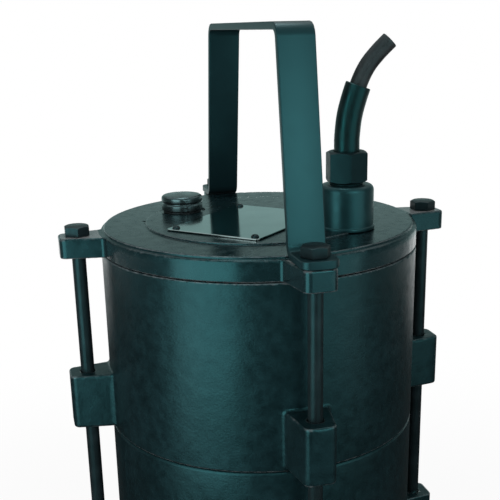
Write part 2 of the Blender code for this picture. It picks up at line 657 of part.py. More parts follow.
# Hose tail: spigot in the bend's collar, a round shoulder and a barbed tube
tail_base = COLLAR_TOP + SEAT_GAP
tail_profile = [
    (NOZZLE_BORE, tail_base - TAIL_SPIGOT),
    (TAIL_RADIUS, tail_base - TAIL_SPIGOT),
    (TAIL_RADIUS, tail_base),
    (NOZZLE_RADIUS + COLLAR_WALL / 2, tail_base),
    (NOZZLE_RADIUS + COLLAR_WALL / 2, tail_base + TAIL_COLLAR_HEIGHT),
    (TAIL_RADIUS - BARB_HEIGHT, tail_base + TAIL_COLLAR_HEIGHT),
]
barb_base = tail_base + TAIL_COLLAR_HEIGHT
for index in range(BARB_COUNT):
    tail_profile.append((TAIL_RADIUS - BARB_HEIGHT, barb_base + (index + 0.3) * BARB_PITCH))
    tail_profile.append((TAIL_RADIUS + BARB_HEIGHT, barb_base + (index + 0.35) * BARB_PITCH))
TAIL_TOP = barb_base + BARB_COUNT * BARB_PITCH
tail_profile.append((TAIL_RADIUS - BARB_HEIGHT, TAIL_TOP))
tail_profile.append((NOZZLE_BORE, TAIL_TOP))
finish(turned("hose_tail", tail_profile, SHAFT_SIDES, riser_foot), STEEL)

# Casing gasket and seal plate, the dished floor of the oil chamber
casing_gasket = ring(BODY_RADIUS - LOWER_WALL, BODY_RADIUS, 0, GASKET_THICKNESS)
finish(turned("casing_gasket", casing_gasket, BODY_SIDES, UP * (VOLUTE_TOP + SEAT_GAP)), FIBRE)
seat_recess = SEAL_PLATE_FLOOR_TOP - SEAL_SEAT_HEIGHT
seal_plate_profile = [
    (SEAL_BORE + RUN_CLEARANCE, SEAL_PLATE_BASE),
    (BODY_RADIUS, SEAL_PLATE_BASE),
    (BODY_RADIUS, SEAL_PLATE_TOP),
    (BODY_RADIUS - LOWER_WALL, SEAL_PLATE_TOP),
    (BODY_RADIUS - LOWER_WALL, SEAL_PLATE_FLOOR_TOP),
    (SEAL_SEAT_RADIUS + SEAT_GAP, SEAL_PLATE_FLOOR_TOP),
    (SEAL_SEAT_RADIUS + SEAT_GAP, seat_recess),
    (SEAL_BORE + RUN_CLEARANCE, seat_recess),
]
finish(turned("seal_plate", seal_plate_profile, BODY_SIDES), PAINT)

# Lower housing: bearing web, oil room below it, and a spigot for the motor housing
boss_radius = LOWER_BEARING["outer"] + SEAT_GAP + BEARING_BOSS_WALL
seal_hub_base = WEB_BASE - SEAL_HUB
upper_recess = seal_hub_base + SEAL_SEAT_HEIGHT + SEAT_GAP
hub_radius = SEAL_SEAT_RADIUS + SEAT_GAP + SEAL_HUB_WALL
spigot_top = LOWER_TOP + SPIGOT_DEPTH
spigot = LOWER_REGISTER - SEAT_GAP
lower_inner = spigot - SPIGOT_WALL
shell_profile = [
    (BODY_RADIUS, LOWER_TOP),
    (BODY_RADIUS, LOWER_BASE),
    (BODY_RADIUS - LOWER_WALL, LOWER_BASE),
    (BODY_RADIUS - LOWER_WALL, WEB_BASE),
    (boss_radius - REACH, WEB_BASE),
    (boss_radius - REACH, WEB_TOP),
    (lower_inner, WEB_TOP),
    (lower_inner, spigot_top),
    (spigot, spigot_top),
    (spigot, LOWER_TOP),
]
lower_housing = turned("lower_housing", shell_profile, BODY_SIDES)
hub_profile = [
    (boss_radius, LOWER_BEARING_TOP),
    (boss_radius, WEB_BASE + REACH),
    (hub_radius, seal_hub_base),
    (SEAL_SEAT_RADIUS + SEAT_GAP, seal_hub_base),
    (SEAL_SEAT_RADIUS + SEAT_GAP, upper_recess),
    (SEAL_BORE + RUN_CLEARANCE, upper_recess),
    (LOWER_BEARING["outer"] - BEARING_SHELF, WEB_TOP),
    (LOWER_BEARING["outer"] + SEAT_GAP, WEB_TOP),
    (LOWER_BEARING["outer"] + SEAT_GAP, LOWER_BEARING_TOP),
]
combine(lower_housing, turned("tool", hub_profile, PIPE_SIDES), "UNION")
oil_axis = Vector((math.cos(OIL_PLUG_ANGLE), math.sin(OIL_PLUG_ANGLE), 0))
oil_height = UP * (LOWER_BASE + OIL_ROOM / 2)
oil_hole_inner = BODY_RADIUS - 2 * LOWER_WALL
oil_hole = (oil_axis * oil_hole_inner + oil_height, oil_axis * (BODY_RADIUS + LOWER_WALL) + oil_height)
combine(lower_housing, cylinders([(*oil_hole, OIL_PLUG_RADIUS + SEAT_GAP)]), "DIFFERENCE")
finish(lower_housing, PAINT)
hex_bolt(
    "oil_plug",
    oil_axis * BODY_RADIUS + oil_height,
    (FLANGE_HEAD_HEIGHT, HEAD_ACROSS_FLATS),
    (OIL_PLUG_RADIUS, LOWER_WALL),
    BRASS,
    -oil_axis,
)

# Motor housing: plain drum with four lugs at its foot that guide the tie bolts
drum = [(0, MOTOR_TOP), (BODY_RADIUS, MOTOR_TOP), (BODY_RADIUS, MOTOR_BASE), (0, MOTOR_BASE)]
motor_housing = turned("motor_housing", drum, BODY_SIDES)
lug_base = MOTOR_BASE + LUG_LIFT
lugs = prism("tool", eared_outline(BODY_RADIUS - REACH / 2, EAR_REACH), lug_base, lug_base + LUG_HEIGHT)
combine(motor_housing, lugs, "UNION")
bevel = seal_chamfer()
bore_profile = [
    (0, MOTOR_TOP + REACH),
    (HOUSING_BORE + bevel + REACH, MOTOR_TOP + REACH),
    (HOUSING_BORE, MOTOR_TOP - bevel),
    (HOUSING_BORE, STATOR_BASE - SEAT_GAP),
    (LOWER_REGISTER, STATOR_BASE - SEAT_GAP),
    (LOWER_REGISTER, MOTOR_BASE + bevel),
    (LOWER_REGISTER + bevel + REACH, MOTOR_BASE - REACH),
    (0, MOTOR_BASE - REACH),
]
combine(motor_housing, turned("tool", bore_profile, BODY_SIDES), "DIFFERENCE")
combine(motor_housing, through_ears(MOTOR_BASE - REACH, lug_base + LUG_HEIGHT + REACH), "DIFFERENCE")
finish(motor_housing, PAINT)
seal_cord("housing_seal", spigot, LOWER_TOP, 1)

# Stator core and the two ends of its winding
stator_bore = ROTOR_RADIUS + AIR_GAP
stator = ring(stator_bore, HOUSING_BORE - SEAT_GAP, STATOR_BASE, STATOR_TOP)
finish(turned("stator_core", stator, BODY_SIDES), LAMINATION)
winding_inner = stator_bore + WINDING_MARGIN / 2
winding_outer = lower_inner - WINDING_MARGIN / 2
for name, face, side in (("upper_winding", STATOR_TOP, 1), ("lower_winding", STATOR_BASE, -1)):
    near = face + side * SEAT_GAP
    far = face + side * WINDING_HEIGHT
    crown = [
        (winding_inner, near),
        (winding_outer, near),
        (winding_outer, far - side * WINDING_EDGE),
        (winding_outer - WINDING_EDGE, far),
        (winding_inner + WINDING_EDGE, far),
        (winding_inner, far - side * WINDING_EDGE),
    ]
    finish(turned(name, crown, PIPE_SIDES), COPPER)

# Rotor core with its cast end rings
rotor_bore = ROTOR_SEAT + SEAT_GAP
end_ring_outer = ROTOR_RADIUS - END_RING_STEP
end_ring_inner = end_ring_outer - END_RING_WIDTH
rotor_profile = [
    (rotor_bore, STATOR_BASE),
    (end_ring_inner, STATOR_BASE),
    (end_ring_inner, STATOR_BASE - END_RING_HEIGHT),
    (end_ring_outer, STATOR_BASE - END_RING_HEIGHT),
    (end_ring_outer, STATOR_BASE),
    (ROTOR_RADIUS, STATOR_BASE),
    (ROTOR_RADIUS, STATOR_TOP),
    (end_ring_outer, STATOR_TOP),
    (end_ring_outer, STATOR_TOP + END_RING_HEIGHT),
    (end_ring_inner, STATOR_TOP + END_RING_HEIGHT),
    (end_ring_inner, STATOR_TOP),
    (rotor_bore, STATOR_TOP),
]
finish(turned("rotor_core", rotor_profile, SHAFT_SIDES), LAMINATION, rotor)

# Shaft: bearing seats, rotor seat, impeller seat with its keyway, and a threaded end
impeller_face = IMPELLER_TOP + SEAT_GAP
thread_face = IMPELLER_HUB_BASE + SEAT_GAP
washer_base = IMPELLER_HUB_BASE - SEAT_GAP - WASHER_THICKNESS
nut_base = washer_base - SEAT_GAP - IMPELLER_NUT_HEIGHT
shaft_profile = [
    (0, UPPER_BEARING_TOP + RUN_CLEARANCE),
    (SHAFT_RADIUS, UPPER_BEARING_TOP + RUN_CLEARANCE),
    (SHAFT_RADIUS, UPPER_BEARING_BASE - SEAT_GAP),
    (ROTOR_SEAT, UPPER_BEARING_BASE - SEAT_GAP),
    (ROTOR_SEAT, LOWER_BEARING_TOP + SEAT_GAP),
    (SHAFT_RADIUS, LOWER_BEARING_TOP + SEAT_GAP),
    (SHAFT_RADIUS, impeller_face),
    (IMPELLER_SEAT, impeller_face),
    (IMPELLER_SEAT, thread_face),
    (SHAFT_THREAD, thread_face),
    (SHAFT_THREAD, nut_base - SHAFT_TAIL),
    (0, nut_base - SHAFT_TAIL),
]
shaft = turned("shaft", shaft_profile, SHAFT_SIDES)


def key_block(name, spare):
    """The impeller key, or with spare room the slot that it lies in."""
    key_base = (IMPELLER_HUB_BASE + IMPELLER_TOP - KEY_LENGTH) / 2
    inner = IMPELLER_SEAT - KEY_DEPTH - spare
    outer = IMPELLER_SEAT + KEY_DEPTH + spare
    half = KEY_WIDTH / 2 + spare
    outline = [(inner, -half), (outer, -half), (outer, half), (inner, half)]
    return prism(name, outline, key_base - spare, key_base + KEY_LENGTH + spare)


combine(shaft, key_block("tool", SEAT_GAP), "DIFFERENCE")
finish(shaft, STEEL, rotor)
finish(key_block("impeller_key", 0), STEEL, rotor)


def bearing(name, base, size):
    """A ball bearing: outer ring, inner ring, and the balls in their cage between them."""
    width = size["width"]
    outer = size["outer"]
    inner = SHAFT_RADIUS + SEAT_GAP
    middle = base + width / 2
    pitch = (inner + outer) / 2
    ball = (outer - inner) * 0.26
    land = ball * 0.62
    dip = ball + RACE_CLEARANCE
    for part, face, side, sides, carrier in (
        ("outer_ring", outer, 1, PIPE_SIDES, pump),
        ("inner_ring", inner, -1, SHAFT_SIDES, rotor),
    ):
        race = [
            (face, base),
            (face, base + width),
            (pitch + side * land, base + width),
            (pitch + side * dip, middle),
            (pitch + side * land, base),
        ]
        finish(turned(f"{name}_{part}", race, sides), STEEL, carrier)
    half_cage = ball * 0.3
    band = ring(pitch - half_cage, pitch + half_cage, middle - half_cage, middle + half_cage)
    cage = turned(f"{name}_balls", band, 2 * BALL_COUNT)
    balls = bmesh.new()
    for index in range(BALL_COUNT):
        angle = (index + 0.5) * 2 * math.pi / BALL_COUNT
        spot = Matrix.Translation((pitch * math.cos(angle), pitch * math.sin(angle), middle))
        bmesh.ops.create_icosphere(balls, subdivisions=1, radius=ball, matrix=spot)
    combine(cage, mesh_object("tool", balls), "UNION")
    finish(cage, STEEL, rotor)


bearing("upper_bearing", UPPER_BEARING_BASE, UPPER_BEARING)
bearing("lower_bearing", LOWER_BEARING_BASE, LOWER_BEARING)
retainer = ring(
    LOWER_BEARING["outer"] - RETAINER_LIP,
    boss_radius,
    LOWER_BEARING_TOP + SEAT_GAP,
    LOWER_BEARING_TOP + SEAT_GAP + RETAINER_HEIGHT,
)
finish(turned("bearing_retainer", retainer, SHAFT_SIDES), IRON)

# Double shaft seal in the oil room: a seat at each end and the spring-loaded unit between
lower_seat = ring(SEAL_BORE, SEAL_SEAT_RADIUS, seat_recess + SEAT_GAP, SEAL_PLATE_FLOOR_TOP + SEAT_GAP)
finish(turned("lower_seal_seat", lower_seat, PIPE_SIDES), CERAMIC)
upper_seat = ring(SEAL_BORE, SEAL_SEAT_RADIUS, seal_hub_base, upper_recess - SEAT_GAP)
finish(turned("upper_seal_seat", upper_seat, PIPE_SIDES), CERAMIC)
unit_base = SEAL_PLATE_FLOOR_TOP + 2 * SEAT_GAP
unit_top = seal_hub_base - SEAT_GAP
seal_unit = [
    (SHAFT_RADIUS + SEAT_GAP, unit_base),
    (SEAL_SEAT_RADIUS - SEAL_UNIT_RIM, unit_base),
    (SEAL_SEAT_RADIUS - SEAL_UNIT_WAIST, (unit_base + unit_top) / 2),
    (SEAL_SEAT_RADIUS - SEAL_UNIT_RIM, unit_top),
    (SHAFT_RADIUS + SEAT_GAP, unit_top),
]
finish(turned("shaft_seal_unit", seal_unit, SHAFT_SIDES), STEEL, rotor)

# Impeller: hub, back shroud and swept vanes that run close over the wear plate
impeller_bore = IMPELLER_SEAT + SEAT_GAP
impeller_profile = [
    (impeller_bore, IMPELLER_TOP),
    (impeller_bore, IMPELLER_HUB_BASE),
    (IMPELLER_HUB - IMPELLER_HUB_TAPER, IMPELLER_HUB_BASE),
    (IMPELLER_HUB, SHROUD_BASE - IMPELLER_FILLET),
    (IMPELLER_HUB + IMPELLER_FILLET, SHROUD_BASE),
    (IMPELLER_RADIUS, SHROUD_BASE),
    (IMPELLER_RADIUS, SHROUD_TOP),
    (IMPELLER_HUB, SHROUD_TOP),
    (IMPELLER_HUB, IMPELLER_TOP),
]
impeller = turned("impeller", impeller_profile, PIPE_SIDES)
vane_steps = 4
vane_root = SHROUD_BASE + SHROUD_THICKNESS / 2
vane_tip = WEAR_PLATE_TOP + RUN_CLEARANCE
for index in range(VANE_COUNT):
    front_face, back_face = [], []
    for step in range(vane_steps + 1):
        share = step / vane_steps
        radius = VANE_START + (IMPELLER_RADIUS - RUN_CLEARANCE - VANE_START) * share
        angle = index * 2 * math.pi / VANE_COUNT + VANE_SWEEP * share
        half_angle = VANE_THICKNESS / 2 / radius * 1.6
        front_face.append((radius * math.cos(angle + half_angle), radius * math.sin(angle + half_angle)))
        back_face.append((radius * math.cos(angle - half_angle), radius * math.sin(angle - half_angle)))
    combine(impeller, prism("tool", back_face + front_face[::-1], vane_tip, vane_root), "UNION")
combine(impeller, key_block("tool", SEAT_GAP), "DIFFERENCE")
finish(impeller, IRON, rotor)
washer_outer = IMPELLER_HUB - IMPELLER_HUB_TAPER
washer = ring(SHAFT_THREAD + SEAT_GAP, washer_outer, washer_base, washer_base + WASHER_THICKNESS)
finish(turned("impeller_washer", washer, SHAFT_SIDES), STEEL, rotor)


def hex_nut(name, place, height, across_flats, hole, look, parent=pump):
    """A hexagon nut standing on a point, with a plain hole."""
    shape = bmesh.new()
    add_cylinder(shape, Vector(), UP * height, across_flats / math.sqrt(3), 6)
    nut = mesh_object(name, shape, place)
    ends = (place - UP * REACH, place + UP * (height + REACH))
    combine(nut, cylinders([(*ends, hole)], BOLT_SIDES), "DIFFERENCE")
    return finish(nut, look, parent)


impeller_nut_flats = IMPELLER_NUT_PROPORTION * SHAFT_THREAD
impeller_nut = (IMPELLER_NUT_HEIGHT, impeller_nut_flats, SHAFT_THREAD + BOLT_CLEARANCE)
hex_nut("impeller_nut", UP * nut_base, *impeller_nut, STEEL, rotor)

# Top cover: eared plate with a raised lid, spigot, bearing boss below and seats for the fittings
boss_outer = UPPER_BEARING["outer"] + SEAT_GAP + BEARING_BOSS_WALL
boss_base = UPPER_BEARING_BASE + RUN_CLEARANCE
cover_spigot = HOUSING_BORE - SEAT_GAP
lid_radius = BODY_RADIUS - COVER_LEDGE
bearing_seat = UPPER_BEARING["outer"] + SEAT_GAP
lid_profile = [
    (0, COVER_TOP + PAD_HEIGHT),
    (PAD_RADIUS, COVER_TOP + PAD_HEIGHT),
    (PAD_RADIUS + PAD_HEIGHT, COVER_TOP),
    (lid_radius - COVER_EDGE, COVER_TOP),
    (lid_radius, COVER_TOP - COVER_EDGE),
    (lid_radius, COVER_BASE + COVER_STEP),
    (cover_spigot, COVER_BASE + COVER_STEP),
    (cover_spigot, MOTOR_TOP - SPIGOT_DEPTH),
    (cover_spigot - SPIGOT_WALL, MOTOR_TOP - SPIGOT_DEPTH),
    (cover_spigot - SPIGOT_WALL, COVER_UNDERSIDE),
    (0, COVER_UNDERSIDE),
]
cover = turned("top_cover", lid_profile, BODY_SIDES)
boss_profile = [
    (0, COVER_UNDERSIDE + REACH),
    (boss_outer, COVER_UNDERSIDE + REACH),
    (boss_outer, boss_base),
    (bearing_seat, boss_base),
    (bearing_seat, UPPER_BEARING_TOP + SEAT_GAP),
    (bearing_seat - BEARING_SHELF, UPPER_BEARING_TOP + SEAT_GAP),
    (0, UPPER_BEARING_TOP + RELIEF_DEPTH),
]
combine(cover, turned("tool", boss_profile, PIPE_SIDES), "UNION")
ear_ring = prism("tool", eared_outline(BODY_RADIUS, EAR_REACH), COVER_BASE, EAR_TOP)
inner_edge = cover_spigot - SPIGOT_WALL / 2
cover_core = [(UP * (COVER_BASE - REACH), UP * (EAR_TOP + REACH), inner_edge)]
combine(ear_ring, cylinders(cover_core, BODY_SIDES), "DIFFERENCE")
combine(cover, ear_ring, "UNION")
combine(cover, through_ears(COVER_BASE - REACH, EAR_TOP + REACH), "DIFFERENCE")
spigot_radius = GLAND_BODY_RADIUS - GLAND_SPIGOT_INSET
above = UP * (COVER_TOP + COVER_PLATE)
spot = UP * (COVER_TOP - SPOT_FACE_DEPTH)
gland_spot = (GLAND_PLACE + spot, GLAND_PLACE + above, GLAND_BODY_RADIUS + SPOT_FACE_MARGIN)
plug_spot = (PLUG_PLACE + spot, PLUG_PLACE + above, PLUG_RADIUS + SPOT_FACE_MARGIN)
combine(cover, cylinders([gland_spot, plug_spot], PIPE_SIDES), "DIFFERENCE")
below = UP * (MOTOR_TOP - 2 * SPIGOT_DEPTH)
gland_hole = (GLAND_PLACE + below, GLAND_PLACE + above, spigot_radius + SEAT_GAP)
plug_hole = (PLUG_PLACE + below, PLUG_PLACE + above, PLUG_SHANK + SEAT_GAP)
combine(cover, cylinders([gland_hole, plug_hole], PIPE_SIDES), "DIFFERENCE")
finish(cover, PAINT)
seal_cord("cover_seal", cover_spigot, COVER_BASE, -1)

# Rating plate: bare sheet on the lid's raised pad, turned an eighth
half_width = GLAND_CIRCLE - GLAND_BODY_RADIUS - SPOT_FACE_MARGIN - PLATE_MARGIN
half_length = half_width * PLATE_PROPORTION
plate_outline = [(-half_length, -half_width), (half_length, -half_width)]
plate_outline += [(half_length, half_width), (-half_length, half_width)]
eighth = Matrix.Rotation(math.pi / 4, 2)
plate_outline = [tuple(eighth @ (Vector(point) + Vector(PLATE_SHIFT))) for point in plate_outline]
plate_base = COVER_TOP + PAD_HEIGHT + SEAT_GAP
plate = prism("rating_plate", plate_outline, plate_base, plate_base + PLATE_THICKNESS)
finish(plate, PLATE_METAL)

# Test plug: round cap with a groove about its middle, on a washer
washer_ring = ring(PLUG_SHANK + SEAT_GAP, PLUG_RADIUS - PLUG_FOOT, SEAT_GAP, SEAT_GAP + PLUG_WASHER)
finish(turned("test_plug_washer", washer_ring, SHAFT_SIDES, PLUG_PLACE + UP * COVER_TOP), RUBBER)
cap_base = PLUG_WASHER + 2 * SEAT_GAP
cap_top = cap_base + PLUG_HEIGHT
cap_middle = (cap_base + cap_top) / 2
plug_profile = [
    (0, cap_top),
    (PLUG_RADIUS - PLUG_EDGE, cap_top),
    (PLUG_RADIUS, cap_top - PLUG_EDGE),
    (PLUG_RADIUS, cap_middle + PLUG_GROOVE),
    (PLUG_RADIUS - PLUG_GROOVE, cap_middle),
    (PLUG_RADIUS, cap_middle - PLUG_GROOVE),
    (PLUG_RADIUS, cap_base),
    (PLUG_SHANK, cap_base),
    (PLUG_SHANK, -PLUG_SHANK_LENGTH),
    (0, -PLUG_SHANK_LENGTH),
]
finish(turned("test_plug", plug_profile, PIPE_SIDES, PLUG_PLACE + UP * COVER_TOP), RUBBER)

# Cable gland: body in the cover, rubber bush, and a hexagon nut with a plain neck
bush_bore = CABLE_RADIUS + SEAT_GAP
bush_radius = bush_bore + GLAND_BUSH_WALL
body_bore = bush_radius + SEAT_GAP
body_base = SEAT_GAP
body_top = body_base + GLAND_BODY_HEIGHT
gland_profile = [
    (bush_bore + GLAND_SLACK, -GLAND_SPIGOT),
    (spigot_radius, -GLAND_SPIGOT),
    (spigot_radius, body_base),
    (GLAND_BODY_RADIUS, body_base),
    (GLAND_BODY_RADIUS, body_top - GLAND_BODY_EDGE),
    (GLAND_BODY_RADIUS - GLAND_BODY_EDGE, body_top),
    (body_bore, body_top),
    (body_bore, GLAND_SHELF),
    (bush_bore + GLAND_SLACK, GLAND_SHELF),
]
gland_foot = GLAND_PLACE + UP * COVER_TOP
finish(turned("gland_body", gland_profile, PIPE_SIDES, gland_foot), PAINT)
bush_top = body_top - NUT_NECK_DEPTH - SEAT_GAP
bush = ring(bush_bore, bush_radius, GLAND_SHELF + SEAT_GAP, bush_top)
finish(turned("gland_bush", bush, SHAFT_SIDES, gland_foot), RUBBER)
neck_top = body_top + NUT_NECK_HEIGHT
hex_top = neck_top + GLAND_NUT_HEIGHT
sleeve_room = SLEEVE_RADIUS + SEAT_GAP
socket_floor = hex_top - SLEEVE_SOCKET - SEAT_GAP
nut_corner = GLAND_NUT_ACROSS_FLATS / math.sqrt(3)
hexagon = bmesh.new()
add_cylinder(hexagon, UP * neck_top, UP * hex_top, nut_corner, 6)
bmesh.ops.rotate(hexagon, cent=(0, 0, 0), matrix=Matrix.Rotation(math.pi / 2, 3, "Z"), verts=hexagon.verts)
gland_nut = mesh_object("gland_nut", hexagon, gland_foot)
nut_wide = nut_corner * 1.2
nut_fall = (nut_wide - GLAND_NUT_ACROSS_FLATS / 2) * CHAMFER_SLOPE
nut_barrel = [
    (0, hex_top),
    (GLAND_NUT_ACROSS_FLATS / 2, hex_top),
    (nut_wide, hex_top - nut_fall),
    (nut_wide, neck_top - REACH),
    (0, neck_top - REACH),
]
combine(gland_nut, turned("tool", nut_barrel, PIPE_SIDES, gland_foot), "INTERSECT")
neck = [
    (0, neck_top + REACH),
    (bush_radius, neck_top + REACH),
    (bush_radius, body_top - NUT_NECK_DEPTH),
    (0, body_top - NUT_NECK_DEPTH),
]
combine(gland_nut, turned("tool", neck, PIPE_SIDES, gland_foot), "UNION")
nut_bore = [
    (0, hex_top + REACH),
    (sleeve_room, hex_top + REACH),
    (sleeve_room, socket_floor),
    (bush_bore, socket_floor),
    (bush_bore, body_top - NUT_NECK_DEPTH - REACH),
    (0, body_top - NUT_NECK_DEPTH - REACH),
]
combine(gland_nut, turned("tool", nut_bore, PIPE_SIDES, gland_foot), "DIFFERENCE")
finish(gland_nut, PAINT)

# Power cable and its sleeve: both follow one smooth curve out of the gland, cut square at its end
lean = Vector((math.cos(CABLE_LEAN_ANGLE), math.sin(CABLE_LEAN_ANGLE), 0))
nut_top = GLAND_PLACE + UP * (COVER_TOP + hex_top)
route = [nut_top - UP * CABLE_START_DEPTH, nut_top - UP * SLEEVE_SOCKET]
route += [nut_top + lean * aside + UP * rise for aside, rise in CABLE_ROUTE]


def smooth_curve(knots):
    """Closely spaced points on a smooth curve through the knots."""
    ends = [2 * knots[0] - knots[1], *knots, 2 * knots[-1] - knots[-2]]
    fine = []
    for a, b, c, d in zip(ends, ends[1:], ends[2:], ends[3:]):
        for step in range(20):
            t = step / 20
            bow = 2 * b + (c - a) * t + (2 * a - 5 * b + 4 * c - d) * t**2
            fine.append((bow + (3 * b - a - 3 * c + d) * t**3) / 2)
    return fine + [knots[-1]]


def points_along(fine, stations):
    """The curve's points at the given distances from its start."""
    lengths = [0.0]
    for a, b in zip(fine, fine[1:]):
        lengths.append(lengths[-1] + (b - a).length)
    nearest = [min(range(len(fine)), key=lambda i: abs(lengths[i] - far)) for far in stations]
    return [fine[index] for index in nearest]


def tube(name, points, radius):
    """A round tube with filled ends along the points."""
    curve = bpy.data.curves.new(name, "CURVE")
    curve.dimensions = "3D"
    curve.bevel_depth = radius
    curve.bevel_resolution = 3
    curve.use_fill_caps = True
    line = curve.splines.new("POLY")
    line.points.add(len(points) - 1)
    for spot, point in zip(line.points, points):
        spot.co = (*point, 1)
    obj = bpy.data.objects.new(name, curve)
    bpy.context.scene.collection.objects.link(obj)
    return obj


def solid_tube(name, points, radius):
    """The same tube as a closed mesh, which can be cut."""
    source = tube("tool", points, radius)
    bpy.context.view_layer.update()
    shaped = source.evaluated_get(bpy.context.evaluated_depsgraph_get())
    shape = bmesh.new()
    shape.from_mesh(bpy.data.meshes.new_from_object(shaped))
    bmesh.ops.remove_doubles(shape, verts=shape.verts, dist=1e-6)
    bpy.data.objects.remove(source, do_unlink=True)
    return mesh_object(name, shape)


# The cable's stations: its start in the bush, then the sleeve's two ends, then its cut end
fine_route = smooth_curve(route)
route_length = sum((b - a).length for a, b in zip(fine_route, fine_route[1:]))
sleeve_start = CABLE_START_DEPTH - SLEEVE_SOCKET
sleeve_run = SLEEVE_SOCKET + SLEEVE_LENGTH
free_run = route_length - sleeve_start - sleeve_run
sleeve_stations = [sleeve_start + sleeve_run * share / 3 for share in range(4)]
free_stations = [route_length - free_run / 2, route_length]
sleeve_points = points_along(fine_route, sleeve_stations)
cable_points = points_along(fine_route, [0, *sleeve_stations, *free_stations])
dress(tube("power_cable", cable_points, CABLE_RADIUS), RUBBER)
sleeve = solid_tube("cable_sleeve", sleeve_points, SLEEVE_RADIUS)
combine(sleeve, solid_tube("tool", cable_points, CABLE_RADIUS + SEAT_GAP), "DIFFERENCE")
finish(sleeve, RUBBER)

# Strap handle: flat bar bent into a bow, each foot clamped under a tie bolt
foot_line = EAR_TOP + SEAT_GAP + STRAP_THICKNESS / 2
top_line = COVER_TOP + HANDLE_HEIGHT - STRAP_THICKNESS / 2
leg_foot = BOLT_CIRCLE - HEAD_CORNER - STRAP_FOOT_BEND - RUN_CLEARANCE
leg_top = leg_foot - HANDLE_LEAN
corners = [(-EAR_REACH, foot_line), (-leg_foot, foot_line), (-leg_top, top_line)]
corners += [(-y, z) for y, z in reversed(corners)]
bends = [STRAP_FOOT_BEND, STRAP_TOP_BEND, STRAP_TOP_BEND, STRAP_FOOT_BEND]


def strap_edge(side):
    """One edge of the bent bar, offset to one side of its centre line, with its bends as arcs."""
    edge = []
    spots = [Vector(corner) for corner in corners]
    for before, corner, after, bend in zip(spots, spots[1:], spots[2:], bends):
        arriving = (corner - before).normalized()
        leaving = (after - corner).normalized()
        turn = arriving.angle_signed(leaving)
        left = math.copysign(1, -turn)
        inward = Vector((-arriving.y, arriving.x)) * left
        back = bend * math.tan(abs(turn) / 2)
        centre = corner - arriving * back + inward * bend
        radius = bend - left * side * STRAP_THICKNESS / 2
        first = math.atan2(-inward.y, -inward.x)
        edge += arc(centre, radius, first, first + left * abs(turn), 4)
    lift = side * STRAP_THICKNESS / 2
    first = (spots[0].x, spots[0].y + lift)
    last = (spots[-1].x, spots[-1].y + lift)
    return [first, *edge, last]


strap = bmesh.new()
section = strap_edge(1) + strap_edge(-1)[::-1]
face = strap.faces.new([strap.verts.new((-STRAP_WIDTH / 2, y, z)) for y, z in section])
pulled = bmesh.ops.extrude_face_region(strap, geom=[face])
moved = [item for item in pulled["geom"] if isinstance(item, bmesh.types.BMVert)]
bmesh.ops.translate(strap, vec=(STRAP_WIDTH, 0, 0), verts=moved)


def at_foot_end(line):
    """True for the short upright edges at the ends of the strap's feet."""
    return all(abs(abs(vert.co.y) - EAR_REACH) < 1e-6 for vert in line.verts) and (
        abs(line.verts[0].co.x - line.verts[1].co.x) < 1e-6
    )


foot_ends = [line for line in strap.edges if at_foot_end(line)]
bmesh.ops.bevel(strap, geom=foot_ends, offset=STRAP_FOOT_CORNER, segments=3, profile=0.5, affect="EDGES")
handle = mesh_object("lifting_handle", strap)
combine(handle, through_ears(EAR_TOP - REACH, EAR_TOP + STRAP_THICKNESS + REACH), "DIFFERENCE")
finish(handle, PAINT)

# Tie bolts and their nuts under the casing's ears; two heads bear on the handle's feet
nut_seat = ear_base - SEAT_GAP - NUT_HEIGHT
for side, place in BOLT_PLACES.items():
    on_strap = side in ("front", "rear")
    head_seat = EAR_TOP + (SEAT_GAP + STRAP_THICKNESS if on_strap else 0)
    bolt_length = head_seat + SEAT_GAP - nut_seat + TIE_BOLT_TAIL
    seat = place + UP * head_seat
    shank = (TIE_BOLT_RADIUS, bolt_length)
    bolt = hex_bolt(f"tie_bolt_{side}", seat, (HEAD_HEIGHT, HEAD_ACROSS_FLATS), shank, None, sides=BOLT_SIDES)
    wide = HEAD_CORNER * 1.2
    fall = (wide - HEAD_ACROSS_FLATS / 2) * CHAMFER_SLOPE
    crown = [(0, HEAD_HEIGHT), (HEAD_ACROSS_FLATS / 2, HEAD_HEIGHT), (wide, HEAD_HEIGHT - fall)]
    crown += [(wide, -bolt_length - REACH), (0, -bolt_length - REACH)]
    combine(bolt, turned("tool", crown, BOLT_SIDES, seat + UP * SEAT_GAP), "INTERSECT")
    finish(bolt, DARK_STEEL)
    nut = (NUT_HEIGHT, HEAD_ACROSS_FLATS, BOLT_HOLE)
    hex_nut(f"tie_nut_{side}", place + UP * nut_seat, *nut, DARK_STEEL)
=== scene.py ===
"""Looks of a submersible dewatering pump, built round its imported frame, from the floor up.

Metres, +Z up. The castings stand on one axis, and four long tie bolts on X and Y clamp them.
"""

import json
import math

import bmesh
import bpy
import numpy as np
import openvdb
from mathutils import Matrix, Vector

